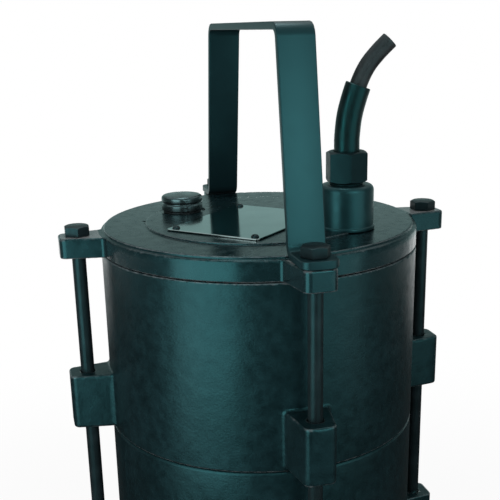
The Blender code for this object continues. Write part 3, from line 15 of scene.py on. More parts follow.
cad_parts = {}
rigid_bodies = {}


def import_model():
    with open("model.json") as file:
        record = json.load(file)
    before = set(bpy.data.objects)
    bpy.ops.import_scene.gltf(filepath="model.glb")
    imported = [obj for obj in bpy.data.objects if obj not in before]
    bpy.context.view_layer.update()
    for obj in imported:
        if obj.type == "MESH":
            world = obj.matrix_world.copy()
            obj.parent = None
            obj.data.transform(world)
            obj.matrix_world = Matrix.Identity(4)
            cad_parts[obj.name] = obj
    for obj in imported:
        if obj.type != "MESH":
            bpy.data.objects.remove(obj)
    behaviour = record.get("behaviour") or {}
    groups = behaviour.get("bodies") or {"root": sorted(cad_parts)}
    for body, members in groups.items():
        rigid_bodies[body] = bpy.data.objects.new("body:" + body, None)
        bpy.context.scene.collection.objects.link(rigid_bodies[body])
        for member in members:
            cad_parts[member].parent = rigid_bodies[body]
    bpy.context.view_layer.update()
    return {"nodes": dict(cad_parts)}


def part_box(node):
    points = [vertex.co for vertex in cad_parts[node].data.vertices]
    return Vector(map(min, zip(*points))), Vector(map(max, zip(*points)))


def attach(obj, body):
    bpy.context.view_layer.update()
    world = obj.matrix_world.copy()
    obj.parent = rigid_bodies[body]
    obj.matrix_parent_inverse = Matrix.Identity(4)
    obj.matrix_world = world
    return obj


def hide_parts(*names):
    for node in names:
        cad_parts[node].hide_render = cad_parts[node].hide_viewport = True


scene = bpy.context.scene
for old in list(bpy.data.objects):
    bpy.data.objects.remove(old)
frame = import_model()

# Strainer. The cup that the pump stands on, pressed from 3 mm sheet with a bolting flange,
# and punched with upright slots all round. Its steel is blackened.
UP = Vector((0, 0, 1))
strainer_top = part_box("strainer")[1].z
flange_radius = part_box("strainer")[1].x
cup_radius = 0.106
sheet = 0.003
slots = 14
slot_width = 0.010
slot_height = 0.032
punch_length = 0.02
sheet_black = (0.012, 0.014, 0.015)
teal_gloss = (0.22, 0.92, 1.0, 1)


def node(tree, kind, sockets=None, **options):
    """Adds a node, sets its options, and fills its sockets with values or links."""
    made = tree.nodes.new(kind)
    for option, value in options.items():
        setattr(made, option, value)
    for socket, value in (sockets or {}).items():
        if isinstance(value, bpy.types.NodeSocket):
            tree.links.new(value, made.inputs[socket])
        else:
            made.inputs[socket].default_value = value
    return made


def maths(tree, operation, *values):
    """A math node on one to three numbers or links, and its result."""
    return node(tree, "ShaderNodeMath", dict(enumerate(values)), operation=operation).outputs["Value"]


def finish(name, roughness, metallic=0.0, **sockets):
    """A new material with its Principled shader's even values set, and the tree for its detail."""
    material = bpy.data.materials.new(name)
    material.use_nodes = True
    tree = material.node_tree
    shader = tree.nodes["Principled BSDF"]
    shader.inputs["Roughness"].default_value = roughness
    shader.inputs["Metallic"].default_value = metallic
    for socket, value in sockets.items():
        shader.inputs[socket.replace("_", " ")].default_value = value
    return material, tree, shader


def ramp(tree, factor, stops):
    """A colour ramp from (position, colour) stops."""
    made = node(tree, "ShaderNodeValToRGB", {"Fac": factor})
    marks = made.color_ramp.elements
    while len(marks) < len(stops):
        marks.new(0.5)
    for mark, (position, colour) in zip(marks, stops):
        mark.position = position
        mark.color = (*colour, 1) if len(colour) == 3 else colour
    return made.outputs["Color"]


def tint(tree, shader, factor, stops):
    """Colours the shader by a ramp of (position, colour) stops."""
    tree.links.new(ramp(tree, factor, stops), shader.inputs["Base Color"])


def spread(tree, factor, low, high, start=0.3, end=0.7, smooth=False):
    """A number that runs from low to high while the factor runs from start to end."""
    sockets = {"Value": factor, "From Min": start, "From Max": end, "To Min": low, "To Max": high}
    kind = "SMOOTHSTEP" if smooth else "LINEAR"
    return node(tree, "ShaderNodeMapRange", sockets, interpolation_type=kind).outputs["Result"]


def dull(tree, shader, factor, low, high):
    """Spreads the shader's roughness from low to high with the factor."""
    tree.links.new(spread(tree, factor, low, high), shader.inputs["Roughness"])


def own_place(tree):
    """The piece's own coordinates, in metres."""
    return node(tree, "ShaderNodeTexCoord").outputs["Object"]


def noise(tree, scale, detail=2.0, stretch=(1, 1, 1)):
    """Noise on the piece's own coordinates, at so many waves a metre."""
    place = own_place(tree)
    if stretch != (1, 1, 1):
        place = node(tree, "ShaderNodeMapping", {"Vector": place, "Scale": stretch}).outputs["Vector"]
    made = node(tree, "ShaderNodeTexNoise", {"Vector": place, "Scale": scale, "Detail": detail})
    return made.outputs["Fac"]


def bump(tree, shader, height, depth, strength=1.0):
    """Raises the surface by a height pattern, up to a depth in metres."""
    sockets = {"Height": height, "Distance": depth, "Strength": strength}
    made = node(tree, "ShaderNodeBump", sockets)
    tree.links.new(made.outputs["Normal"], shader.inputs["Normal"])


def black_steel(name, tone):
    """Blackened steel: a thin, slightly cloudy oxide with a fine drawn grain."""
    material, tree, shader = finish(name, 0.38, Specular_IOR_Level=0.2, Specular_Tint=teal_gloss)
    cloud = noise(tree, 90, 4)
    grain = noise(tree, 700, 2, (1, 1, 0.12))
    tones = [tuple(part * share for part in tone) for share in (0.7, 1.0, 1.5)]
    tint(tree, shader, cloud, list(zip((0.3, 0.52, 0.74), tones)))
    dull(tree, shader, grain, 0.3, 0.46)
    bump(tree, shader, grain, 0.00008, 0.5)
    return material


def rounded(corners, closed=True):
    """The outline through (across, up, radius) corners, each rounded to its own radius."""
    outline = []
    for index, (across, up, radius) in enumerate(corners):
        here = Vector((across, up))
        inside = closed or 0 < index < len(corners) - 1
        if not (radius and inside):
            outline.append(here)
            continue
        back = (Vector(corners[index - 1][:2]) - here).normalized()
        ahead = (Vector(corners[(index + 1) % len(corners)][:2]) - here).normalized()
        half = back.angle(ahead) / 2
        centre = here + (back + ahead).normalized() * radius / math.sin(half)
        first = here + back * radius / math.tan(half) - centre
        last = here + ahead * radius / math.tan(half) - centre
        start = math.atan2(first.y, first.x)
        turn = (math.atan2(last.y, last.x) - start + math.pi) % (2 * math.pi) - math.pi
        steps = max(2, round(abs(turn) / math.radians(18)))
        for step in range(steps + 1):
            angle = start + turn * step / steps
            outline.append(centre + Vector((math.cos(angle), math.sin(angle))) * radius)
    return outline


def piece(name, shape, sharp=35.0):
    """Makes an object from a bmesh, closed and facing outwards, smooth between its sharp edges."""
    bmesh.ops.remove_doubles(shape, verts=shape.verts, dist=1e-6)
    bmesh.ops.recalc_face_normals(shape, faces=shape.faces)
    mesh = bpy.data.meshes.new(name)
    shape.to_mesh(mesh)
    shape.free()
    mesh.shade_smooth()
    mesh.set_sharp_from_angle(angle=math.radians(sharp))
    obj = bpy.data.objects.new(name, mesh)
    scene.collection.objects.link(obj)
    return obj


def turned(name, corners, place=(0, 0, 0), along=UP, sides=96):
    """A turned piece: rounded (radius, height) corners, spun about an axis through a place."""
    off_axis = corners[0][0] > 0
    shape = bmesh.new()
    points = [shape.verts.new((p.x, 0, p.y)) for p in rounded(corners, off_axis)]
    lines = [shape.edges.new(pair) for pair in zip(points, points[1:])]
    if off_axis:
        lines.append(shape.edges.new((points[-1], points[0])))
    spin = {"cent": (0, 0, 0), "axis": (0, 0, 1), "angle": 2 * math.pi, "steps": sides}
    bmesh.ops.spin(shape, geom=points + lines, use_merge=True, **spin)
    turn = along.to_track_quat("Z", "Y").to_matrix().to_4x4() if along != UP else Matrix()
    bmesh.ops.transform(shape, matrix=Matrix.Translation(place) @ turn, verts=shape.verts)
    return piece(name, shape)


def settled(obj):
    """The evaluated shape as a plain mesh, with the modifiers that made it removed."""
    bpy.context.view_layer.update()
    shaped = obj.evaluated_get(bpy.context.evaluated_depsgraph_get())
    mesh = bpy.data.meshes.new_from_object(shaped)
    obj.modifiers.clear()
    obj.data = mesh
    return obj


def grow(obj, tree, **values):
    """Runs a Geometry Nodes tree on an object, with its inputs set by name, and keeps the mesh."""
    modifier = obj.modifiers.new(tree.name, "NODES")
    modifier.node_group = tree
    for item in tree.interface.items_tree:
        if item.in_out == "INPUT" and item.name in values:
            modifier[item.identifier] = values[item.name]
    return settled(obj)


def new_tree(name, **inputs):
    """A Geometry Nodes tree with a geometry in and out, and named inputs."""
    tree = bpy.data.node_groups.new(name, "GeometryNodeTree")
    tree.interface.new_socket("Geometry", in_out="INPUT", socket_type="NodeSocketGeometry")
    for label, kind in inputs.items():
        tree.interface.new_socket(label, in_out="INPUT", socket_type=f"NodeSocket{kind}")
    tree.interface.new_socket("Geometry", in_out="OUTPUT", socket_type="NodeSocketGeometry")
    given = tree.nodes.new("NodeGroupInput").outputs
    return tree, given


def on_z(tree, value):
    """A vector with only its Z set, for a turn about the upright or a shift along it."""
    return node(tree, "ShaderNodeCombineXYZ", {"Z": value}).outputs["Vector"]


def give(tree, geometry, material):
    """Ends a tree: instances made real, the material set, and the result handed out."""
    real = node(tree, "GeometryNodeRealizeInstances", {"Geometry": geometry})
    sockets = {"Geometry": real.outputs["Geometry"], "Material": material}
    dressed = node(tree, "GeometryNodeSetMaterial", sockets)
    node(tree, "NodeGroupOutput", {"Geometry": dressed.outputs["Geometry"]})


cup = [
    (0, 0, 0),
    (cup_radius, 0, 0.005),
    (cup_radius, strainer_top - sheet, 0.002),
    (flange_radius, strainer_top - sheet, 0.0008),
    (flange_radius, strainer_top, 0.0008),
    (cup_radius - sheet, strainer_top, 0.004),
    (cup_radius - sheet, sheet, 0.003),
    (0, sheet, 0),
]
strainer = turned("strainer_cup", cup)

slot_tree, given = new_tree(
    "slot_punch",
    Slots="Int",
    Width="Float",
    Height="Float",
    Radius="Float",
    Middle="Float",
    Finish="Material",
)
sockets = {"Width": given["Width"], "Height": given["Height"]}
outline = node(slot_tree, "GeometryNodeCurvePrimitiveQuadrilateral", sockets)
almost_half = maths(slot_tree, "MULTIPLY", given["Width"], 0.499)
sockets = {"Curve": outline.outputs["Curve"], "Radius": almost_half, "Count": 8}
stadium = node(slot_tree, "GeometryNodeFilletCurve", sockets, mode="POLY")
disc = node(slot_tree, "GeometryNodeFillCurve", {"Curve": stadium.outputs["Curve"]}, mode="NGONS")
sockets = {"Mesh": disc.outputs["Mesh"], "Offset Scale": punch_length, "Individual": False}
punch = node(slot_tree, "GeometryNodeExtrudeMesh", sockets)
flipped = node(slot_tree, "GeometryNodeFlipFaces", {"Mesh": disc.outputs["Mesh"]})
closed = node(slot_tree, "GeometryNodeJoinGeometry", {"Geometry": punch.outputs["Mesh"]})
slot_tree.links.new(flipped.outputs["Mesh"], closed.inputs["Geometry"])
sockets = {"Geometry": closed.outputs["Geometry"], "Distance": 1e-5}
welded = node(slot_tree, "GeometryNodeMergeByDistance", sockets)
sockets = {"Geometry": welded.outputs["Geometry"], "Translation": (0, 0, -punch_length / 2)}
centred = node(slot_tree, "GeometryNodeTransform", sockets)
sockets = {"Geometry": centred.outputs["Geometry"], "Rotation": (math.pi / 2, 0, math.pi / 2)}
upright = node(slot_tree, "GeometryNodeTransform", sockets)
sockets = {"Vertices": given["Slots"], "Radius": given["Radius"]}
round_about = node(slot_tree, "GeometryNodeMeshCircle", sockets)
step = maths(slot_tree, "DIVIDE", 2 * math.pi, given["Slots"])
index = node(slot_tree, "GeometryNodeInputIndex").outputs["Index"]
sockets = {
    "Points": round_about.outputs["Mesh"],
    "Instance": upright.outputs["Geometry"],
    "Rotation": on_z(slot_tree, maths(slot_tree, "MULTIPLY", index, step)),
}
punches = node(slot_tree, "GeometryNodeInstanceOnPoints", sockets)
sockets = {
    "Geometry": punches.outputs["Instances"],
    "Translation": on_z(slot_tree, given["Middle"]),
    "Rotation": on_z(slot_tree, maths(slot_tree, "MULTIPLY", step, 0.5)),
}
placed = node(slot_tree, "GeometryNodeTransform", sockets)
loose = node(slot_tree, "GeometryNodeRealizeInstances", {"Geometry": placed.outputs["Geometry"]})
sockets = {"Mesh 1": given["Geometry"], "Mesh 2": loose.outputs["Geometry"]}
punched = node(slot_tree, "GeometryNodeMeshBoolean", sockets, operation="DIFFERENCE", solver="EXACT")
give(slot_tree, punched.outputs["Mesh"], given["Finish"])
grow(
    strainer,
    slot_tree,
    Slots=slots,
    Width=slot_width,
    Height=slot_height,
    Radius=cup_radius,
    Middle=(strainer_top - sheet) / 2,
    Finish=black_steel("blackened_sheet", sheet_black),
)
strainer.data.set_sharp_from_angle(angle=math.radians(35))
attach(strainer, "pump_body")
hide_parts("strainer")

# Wear plate. A bare cast-iron disc between strainer and casing, faced on both sides, with a
# flared eye that the water is drawn through. Only its machined edge shows.
wear_base, wear_top = (corner.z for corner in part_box("wear_plate"))
eye = 0.032
flare = 0.004


def bare_iron(name):
    """Machined grey iron: cool grey with darker graphite specks and the marks of the tool."""
    material, tree, shader = finish(name, 0.42, 0.8)
    specks = noise(tree, 1400, 3)
    marks = noise(tree, 300, 1, (0.2, 0.2, 6))
    greys = [(0.32, (0.05, 0.052, 0.055)), (0.5, (0.13, 0.132, 0.135)), (0.72, (0.2, 0.2, 0.2))]
    tint(tree, shader, specks, greys)
    dull(tree, shader, marks, 0.34, 0.55)
    bump(tree, shader, marks, 0.0001, 0.4)
    return material


plate_corners = [
    (eye, wear_top, 0.001),
    (eye, wear_base + flare, 0.002),
    (eye + flare, wear_base, 0.001),
    (flange_radius, wear_base, 0.0008),
    (flange_radius, wear_top, 0.0008),
]
wear_plate = turned("wear_disc", plate_corners)
wear_plate.data.materials.append(bare_iron("faced_iron"))
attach(wear_plate, "pump_body")
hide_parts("wear_plate")

# Volute casing. The spiral casting that gathers the water: a round foot flange, an eared top
# flange for the tie bolts, and a nozzle. It is sand-cast with soft fillets, and painted.
seat_gap = 0.0003
casing_base = wear_top + seat_gap
casing_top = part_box("casing_gasket")[0].z - seat_gap
casing_wall = 0.008
casing_roof = 0.010
chamber_least = 0.072
chamber_growth = 0.024
shaft_passage = 0.020
foot_depth = 0.010
crown_depth = 0.014
body_radius = 0.118
ear_root = 0.10
ear_reach = 0.1485
ear_half = 0.0105
ear_taper = 0.16
ear_corner = 0.004
bolt_circle = 0.135
bolt_hole = 0.0055
discharge = Vector((math.cos(math.pi / 4), math.sin(math.pi / 4), 0))
aside = Vector((-discharge.y, discharge.x, 0))
nozzle_bore = 0.021
nozzle_radius = 0.028
nozzle_offset = 0.053
nozzle_height = casing_base + nozzle_radius + 0.001
nozzle_face = 0.145
discharge_flange = 0.046
flange_depth = 0.010
flange_hole_run = 0.03
small_hole = 0.0045
flange_bolt_circle = 0.037
foot_bolt_circle = 0.114
foot_bolt_turns = (45, 165, 285)
foot_hole_depth = 0.008
cast_edge = 0.0012
overrun = 0.02
paint_tone = (0.0026, 0.0072, 0.0086)
worn_tone = (0.055, 0.064, 0.068, 1)


def cast_paint(name, gloss=0.34, grain=1.0, painted_light_scale=1.0, shine=0.28, uneven=1.0):
    """Dark teal enamel over sand-cast metal: semi-gloss, a little uneven, and worn along its edges."""
    material, tree, shader = finish(name, gloss, Specular_IOR_Level=shine, Specular_Tint=teal_gloss)
    cloud = noise(tree, 22, 4)
    blotch = noise(tree, 150, 3)
    pores = noise(tree, 600, 3)
    lumps = noise(tree, 48, 2)
    # The tones can be scaled lighter for painted light, or darker for painted shade, on one piece.
    tones = []
    for share in (1 - 0.27 * uneven, 1, 1 + 0.38 * uneven):
        tones.append(tuple(painted_light_scale * share * part for part in paint_tone))
    mixed = maths(tree, "MULTIPLY", maths(tree, "ADD", cloud, blotch), 0.5)
    colour = ramp(tree, mixed, list(zip((0.36, 0.5, 0.66), tones)))
    edge = node(tree, "ShaderNodeAttribute", attribute_name="edge").outputs["Fac"]
    rubbed = maths(tree, "MULTIPLY_ADD", noise(tree, 210, 3), 0.9, edge)
    worn = spread(tree, rubbed, 0.0, 0.85, start=0.92, end=1.5, smooth=True)
    sockets = {"Fac": worn, "Color1": colour, "Color2": worn_tone}
    coat = node(tree, "ShaderNodeMixRGB", sockets).outputs["Color"]
    tree.links.new(coat, shader.inputs["Base Color"])
    dull(tree, shader, blotch, gloss - 0.05 * uneven, gloss + 0.07 * uneven)
    fine = maths(tree, "ADD", blotch, pores)
    height = maths(tree, "MULTIPLY_ADD", lumps, 6.0, fine)
    bump(tree, shader, height, 0.0002 * grain, 0.4)
    return material


def slab(height, low, high):
    """Distance to the space between two planes."""
    return np.abs(height - (low + high) / 2) - (high - low) / 2


def meet(a, b, edge):
    """What two shapes share, with the corner between them rounded."""
    corner = np.hypot(np.maximum(edge + a, 0), np.maximum(edge + b, 0))
    return np.minimum(-edge, np.maximum(a, b)) + corner


def join(a, b, fillet):
    """Both shapes as one, with a fillet in the corner between them."""
    corner = np.hypot(np.maximum(fillet - a, 0), np.maximum(fillet - b, 0))
    return np.maximum(fillet, np.minimum(a, b)) - corner


def ears(x, y, inner):
    """Distance in plan to the four ears on the axes, which narrow towards their square ends."""
    along = np.maximum(np.abs(x), np.abs(y))
    across = np.minimum(np.abs(x), np.abs(y))
    past = slab(along, inner, ear_reach) + ear_corner
    beside = across - ear_half - ear_taper * (ear_reach - along) + ear_corner
    outside = np.hypot(np.maximum(past, 0), np.maximum(beside, 0))
    return outside + np.minimum(np.maximum(past, beside), 0) - ear_corner


def ear_holes(x, y):
    """Distance in plan to the four tie-bolt holes."""
    along = np.maximum(np.abs(x), np.abs(y))
    return np.hypot(along - bolt_circle, np.minimum(np.abs(x), np.abs(y))) - bolt_hole


def spiral_wall(x, y):
    """Distance in plan to the volute chamber, whose radius grows with the flow."""
    steps = 61
    turn = np.radians(np.linspace(135, 435, steps))
    radius = chamber_least + chamber_growth * np.linspace(1, 0, steps)
    corners = np.stack([radius * np.cos(turn), radius * np.sin(turn)], 1)
    nearest = np.inf
    inside = False
    for (ax, ay), (bx, by) in zip(corners, np.roll(corners, -1, 0)):
        ex, ey = bx - ax, by - ay
        share = np.clip(((x - ax) * ex + (y - ay) * ey) / (ex * ex + ey * ey), 0, 1)
        nearest = np.minimum(nearest, (x - ax - ex * share) ** 2 + (y - ay - ey * share) ** 2)
        crosses = ((ay > y) != (by > y)) & (x < ex * (y - ay) / (ey if ey else 1e-9) + ax)
        inside = inside ^ crosses
    return np.sqrt(nearest) * np.where(inside, -1, 1)


def cast(name, field, like, cell):
    """A casting's closed skin in the place of a CAD node, where its distance field is zero.

    It takes the field's own normals, and notes how sharp its edges are, because paint wears there.
    """
    margin = Vector((0.004, 0.004, 0.004))
    low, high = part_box(like)
    low, high = low - margin, high + margin
    axes = [a + cell * np.arange(int((b - a) / cell) + 2) for a, b in zip(low, high)]
    block = field(*np.meshgrid(*axes, indexing="ij", sparse=True))
    block = np.broadcast_to(block, [len(axis) for axis in axes])
    grid = openvdb.FloatGrid(1.0)
    grid.copyFromArray(block.astype(np.float32))
    spots, triangles, quads = grid.convertToPolygons(isovalue=0.0, adaptivity=0.012)
    spots = spots.astype(float) * cell + np.array(low)
    reach = cell * 0.05
    for _ in range(2):
        slopes = []
        for axis in range(3):
            shift = np.eye(3)[axis] * reach
            slopes.append((field(*(spots + shift).T) - field(*(spots - shift).T)) / (2 * reach))
        normals = np.stack(slopes, 1)
        size = np.maximum(np.linalg.norm(normals, axis=1), 0.3)
        step = np.clip(field(*spots.T) / size, -cell / 3, cell / 3)
        spots = spots - normals / size[:, None] * step[:, None]
    mesh = bpy.data.meshes.new(name)
    mesh.from_pydata(spots.tolist(), [], [*triangles.tolist(), *quads.tolist()])
    mesh.validate()
    mesh.shade_smooth()
    mesh.normals_split_custom_set_from_vertices((normals / size[:, None]).tolist())
    wear_reach = 0.0009
    sharpest = 1000
    bend = -6 * field(*spots.T)
    for way in (*np.eye(3), *-np.eye(3)):
        bend = bend + field(*(spots + way * wear_reach).T)
    edge = np.clip(bend / wear_reach**2 / sharpest, 0, 1)
    mesh.attributes.new("edge", "FLOAT", "POINT").data.foreach_set("value", edge.astype(np.float32))
    obj = bpy.data.objects.new(name, mesh)
    scene.collection.objects.link(obj)
    return obj


def along_nozzle(x, y, z):
    """Distance out along the nozzle, sideways from its axis, and away from that axis."""
    out = x * discharge.x + y * discharge.y
    side = x * aside.x + y * aside.y - nozzle_offset
    return out, side, np.hypot(side, z - nozzle_height)


def flange_holes(side, z):
    """Distance to the four bolt holes of the discharge flange."""
    spot = flange_bolt_circle / math.sqrt(2)
    return np.hypot(np.abs(side) - spot, np.abs(z - nozzle_height) - spot) - small_hole


def casing_field(x, y, z):
    """The volute casing's distance field."""
    away = np.hypot(x, y)
    spiral = spiral_wall(x, y)
    out, side, round_axis = along_nozzle(x, y, z)
    height = slab(z, casing_base, casing_top)
    wall = meet(spiral - casing_wall, height, 0.001)
    foot = meet(away - flange_radius, slab(z, casing_base, casing_base + foot_depth), cast_edge)
    crown = join(away - body_radius, ears(x, y, ear_root), 0.003)
    crown = meet(crown, slab(z, casing_top - crown_depth, casing_top), cast_edge)
    solid = join(join(wall, foot, 0.005), crown, 0.005)
    pipe = meet(round_axis - nozzle_radius, slab(out, nozzle_bore, nozzle_face), 0.001)
    solid = meet(join(solid, pipe, 0.006), height, 0.0006)
    ring = slab(out, nozzle_face - flange_depth, nozzle_face)
    solid = join(solid, meet(round_axis - discharge_flange, ring, cast_edge), 0.004)
    chamber = meet(spiral, slab(z, casing_base - overrun, casing_top - casing_roof), 0.003)
    bore = meet(round_axis - nozzle_bore, slab(out, nozzle_bore, nozzle_face + overrun), 0.001)
    solid = meet(solid, -join(chamber, bore, 0.003), 0.0008)
    hub = meet(away - shaft_passage, slab(z, casing_top - overrun, casing_top + overrun), 0.0)
    solid = meet(solid, -hub, 0.0006)
    solid = meet(solid, -ear_holes(x, y), 0.0006)
    for turn in foot_bolt_turns:
        spot = Vector((math.cos(math.radians(turn)), math.sin(math.radians(turn)))) * foot_bolt_circle
        hole = np.hypot(x - spot.x, y - spot.y) - small_hole
        hole = meet(hole, z - casing_base - foot_hole_depth, 0.0)
        solid = np.maximum(solid, -hole)
    through = slab(out, nozzle_face - flange_hole_run, nozzle_face + flange_depth)
    return np.maximum(solid, -meet(flange_holes(side, z), through, 0.0))


casing = cast("volute_shell", casing_field, "volute_casing", 0.0012)
casing.data.materials.append(cast_paint("casing_enamel"))
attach(casing, "pump_body")
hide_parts("volute_casing")

# Strainer bolts. Three zinc-plated hexagon bolts that hold the strainer and the wear plate up
# against the casing's foot flange, heads down.
small_flats = 0.013
small_head = 0.0053
small_shank = 0.004
small_pitch = 0.00125


def zinc_steel(name):
    """Bright zinc on steel, dulled to grey, with faint clouds of white bloom."""
    material, tree, shader = finish(name, 0.36, 1.0)
    cloud = noise(tree, 260, 4)
    grain = noise(tree, 1600, 2)
    greys = [(0.3, (0.30, 0.31, 0.33)), (0.52, (0.46, 0.47, 0.48)), (0.75, (0.60, 0.60, 0.59))]
    tint(tree, shader, cloud, greys)
    dull(tree, shader, cloud, 0.26, 0.46)
    bump(tree, shader, grain, 0.00006, 0.4)
    return material


def skin(name, rows, sharp=35.0, closed=False):
    """A skin through rings of points, capped at both ends or closed on itself."""
    shape = bmesh.new()
    rings = [[shape.verts.new(point) for point in row] for row in rows]
    if closed:
        rings.append(rings[0])
    else:
        shape.faces.new(rings[0])
        shape.faces.new(rings[-1][::-1])
    for upper, lower in zip(rings, rings[1:]):
        for index in range(len(upper)):
            shape.faces.new((upper[index - 1], upper[index], lower[index], lower[index - 1]))
    return piece(name, shape, sharp)


def hex_radius(angle, flats, corner):
    """How far a hexagon with rounded corners reaches in one direction."""
    inner = flats / 2
    off_face = (angle + math.pi / 6) % (math.pi / 3) - math.pi / 6
    off_corner = math.pi / 6 - abs(off_face)
    centre = (inner - corner) / math.cos(math.pi / 6)
    tangent = math.atan2(corner * math.sin(math.pi / 6), centre + corner * math.cos(math.pi / 6))
    if off_corner > tangent:
        return inner / math.cos(off_face)
    return centre * math.cos(off_corner) + math.sqrt(corner**2 - (centre * math.sin(off_corner)) ** 2)


def round_row(ways, radius, height):
    """A round ring of points at one height."""
    return [way * radius + UP * height for way in ways]


def hex_rows(flats, low, high, chamfer_low, steps=72):
    """Rings of a hexagon with its corners chamfered off at the top, and below where asked."""
    angles = [2 * math.pi * index / steps for index in range(steps)]
    reach = [hex_radius(angle, flats, flats * 0.02) for angle in angles]
    face = flats * 0.47
    slope = math.tan(math.radians(28))
    ways = [Vector((math.cos(angle), math.sin(angle), 0)) for angle in angles]
    falls = [(far - face) * slope for far in reach]
    rows = [round_row(ways, face, high)]
    rows.append([way * far + UP * (high - fall) for way, far, fall in zip(ways, reach, falls)])
    if chamfer_low:
        rows.append([way * far + UP * (low + fall) for way, far, fall in zip(ways, reach, falls)])
        rows.append(round_row(ways, face, low))
    else:
        rows.append([way * far + UP * (low + flats * 0.02) for way, far in zip(ways, reach)])
        rows.append([way * far * 0.98 + UP * low for way, far in zip(ways, reach)])
    return rows, ways


def hex_bolt(name, flats, height, radius, length, pitch, threaded):
    """A hexagon bolt: head up from z = 0, shank down from it, with a rolled thread at its end."""
    neck = 0.0003
    rows, ways = hex_rows(flats, 0, height, False)
    rows.append(round_row(ways, radius + neck, 0))
    rows.append(round_row(ways, radius, -neck))
    rows.append(round_row(ways, radius, threaded - length))
    count = round(threaded / pitch * 6)
    for step in range(1, count):
        down = length - threaded + threaded * step / count
        ease = min(1, step / 6, (count - step) / 4)
        ring = []
        for index, way in enumerate(ways):
            phase = (down / pitch + index / len(ways)) % 1
            ring.append(way * (radius - pitch * 0.55 * ease * abs(2 * phase - 1)) - UP * down)
        rows.append(ring)
    rows.append(round_row(ways, radius - pitch * 0.6, -length))
    return skin(name, rows, 40)


ring_tree, given = new_tree(
    "bolt_ring",
    Bolt="Object",
    Count="Int",
    Circle="Float",
    First="Float",
    Place="Vector",
    Turn="Vector",
    Finish="Material",
)
pattern = node(ring_tree, "GeometryNodeObjectInfo", {"Object": given["Bolt"], "As Instance": True})
step = maths(ring_tree, "DIVIDE", 2 * math.pi, given["Count"])
index = node(ring_tree, "GeometryNodeInputIndex").outputs["Index"]
angle = maths(ring_tree, "MULTIPLY_ADD", index, step, given["First"])
arm = node(ring_tree, "ShaderNodeCombineXYZ", {"X": given["Circle"]})
sockets = {"Vector": arm.outputs["Vector"], "Angle": angle}
spot = node(ring_tree, "ShaderNodeVectorRotate", sockets, rotation_type="Z_AXIS")
sockets = {"Count": given["Count"], "Position": spot.outputs["Vector"]}
spots = node(ring_tree, "GeometryNodePoints", sockets)
sockets = {
    "Points": spots.outputs["Points"],
    "Instance": pattern.outputs["Geometry"],
    "Rotation": on_z(ring_tree, angle),
}
bolts = node(ring_tree, "GeometryNodeInstanceOnPoints", sockets)
sockets = {
    "Geometry": bolts.outputs["Instances"],
    "Translation": given["Place"],
    "Rotation": given["Turn"],
}
seated = node(ring_tree, "GeometryNodeTransform", sockets)
give(ring_tree, seated.outputs["Geometry"], given["Finish"])


def bolt_ring(name, bolt, material, place, along=UP, **values):
    """Sets one bolt round a circle as a single mesh, and removes the pattern."""
    obj = bpy.data.objects.new(name, bpy.data.meshes.new(name))
    scene.collection.objects.link(obj)
    turn = along.to_track_quat("Z", "Y").to_euler() if along != UP else (0.0, 0.0, 0.0)
    values.update(Bolt=bolt, Place=tuple(place), Turn=tuple(turn), Finish=material)
    grow(obj, ring_tree, **values)
    obj.data.set_sharp_from_angle(angle=math.radians(40))
    bpy.data.objects.remove(bolt)
    return obj


zinc = zinc_steel("zinc_plate")
foot_bolt = hex_bolt(
    "foot_bolt", small_flats, small_head, small_shank, length=0.0165, pitch=small_pitch, threaded=0.010
)
foot_bolts = bolt_ring(
    "strainer_bolts",
    foot_bolt,
    zinc,
    (0, 0, strainer_top - sheet - seat_gap),
    -UP,
    Count=3,
    Circle=foot_bolt_circle,
    First=3 * math.pi / 4,
)
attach(foot_bolts, "pump_body")
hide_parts("strainer_bolt_1", "strainer_bolt_2", "strainer_bolt_3")

# Discharge gasket. A pressed fibre ring between the two flanges of the outlet, of which a thin
# brown line shows at the edge.
gasket_face = nozzle_face + seat_gap
gasket_depth = 0.001


def pressed_fibre(name):
    """Pressed fibre sheet: brown, dry, with short strands in it."""
    material, tree, shader = finish(name, 0.85)
    strands = noise(tree, 900, 4, (1, 1, 0.3))
    browns = [(0.3, (0.09, 0.055, 0.03)), (0.5, (0.16, 0.10, 0.06)), (0.7, (0.24, 0.16, 0.1))]
    tint(tree, shader, strands, browns)
    bump(tree, shader, strands, 0.0001, 0.6)
    return material


def nozzle_point(out):
    """A point on the outlet's axis."""
    return aside * nozzle_offset + discharge * out + UP * nozzle_height


def cut(obj, tool):
    """Takes a tool's shape out of a piece, and removes the tool."""
    cutter = obj.modifiers.new("cut", "BOOLEAN")
    cutter.operation = "DIFFERENCE"
    cutter.object = tool
    settled(obj)
    obj.data.set_sharp_from_angle(angle=math.radians(35))
    bpy.data.objects.remove(tool)


def drill(obj, holes, radius, sides=48):
    """Cuts round holes, each between two points, out of a piece."""
    shape = bmesh.new()
    for start, end in holes:
        turn = (end - start).to_track_quat("Z", "Y").to_matrix().to_4x4()
        place = Matrix.Translation((start + end) / 2) @ turn
        sizes = {"radius1": radius, "radius2": radius, "depth": (end - start).length, "segments": sides}
        bmesh.ops.create_cone(shape, cap_ends=True, matrix=place, **sizes)
    cut(obj, piece("drill", shape))


def flange_spots(out):
    """The centres of the outlet's four bolts, at one distance along it."""
    far = flange_bolt_circle / math.sqrt(2)
    return [nozzle_point(out) + aside * a * far + UP * b * far for a in (-1, 1) for b in (-1, 1)]


gasket_ring = [
    (nozzle_bore, 0, 0),
    (discharge_flange, 0, 0.0002),
    (discharge_flange, gasket_depth, 0.0002),
    (nozzle_bore, gasket_depth, 0),
]
gasket = turned("outlet_gasket", gasket_ring, nozzle_point(gasket_face), discharge)
beside = 0.005
drill(gasket, list(zip(flange_spots(gasket_face - beside), flange_spots(gasket_face + beside))), small_hole)
gasket.data.materials.append(pressed_fibre("gasket_fibre"))
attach(gasket, "pump_body")
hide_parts("discharge_gasket")

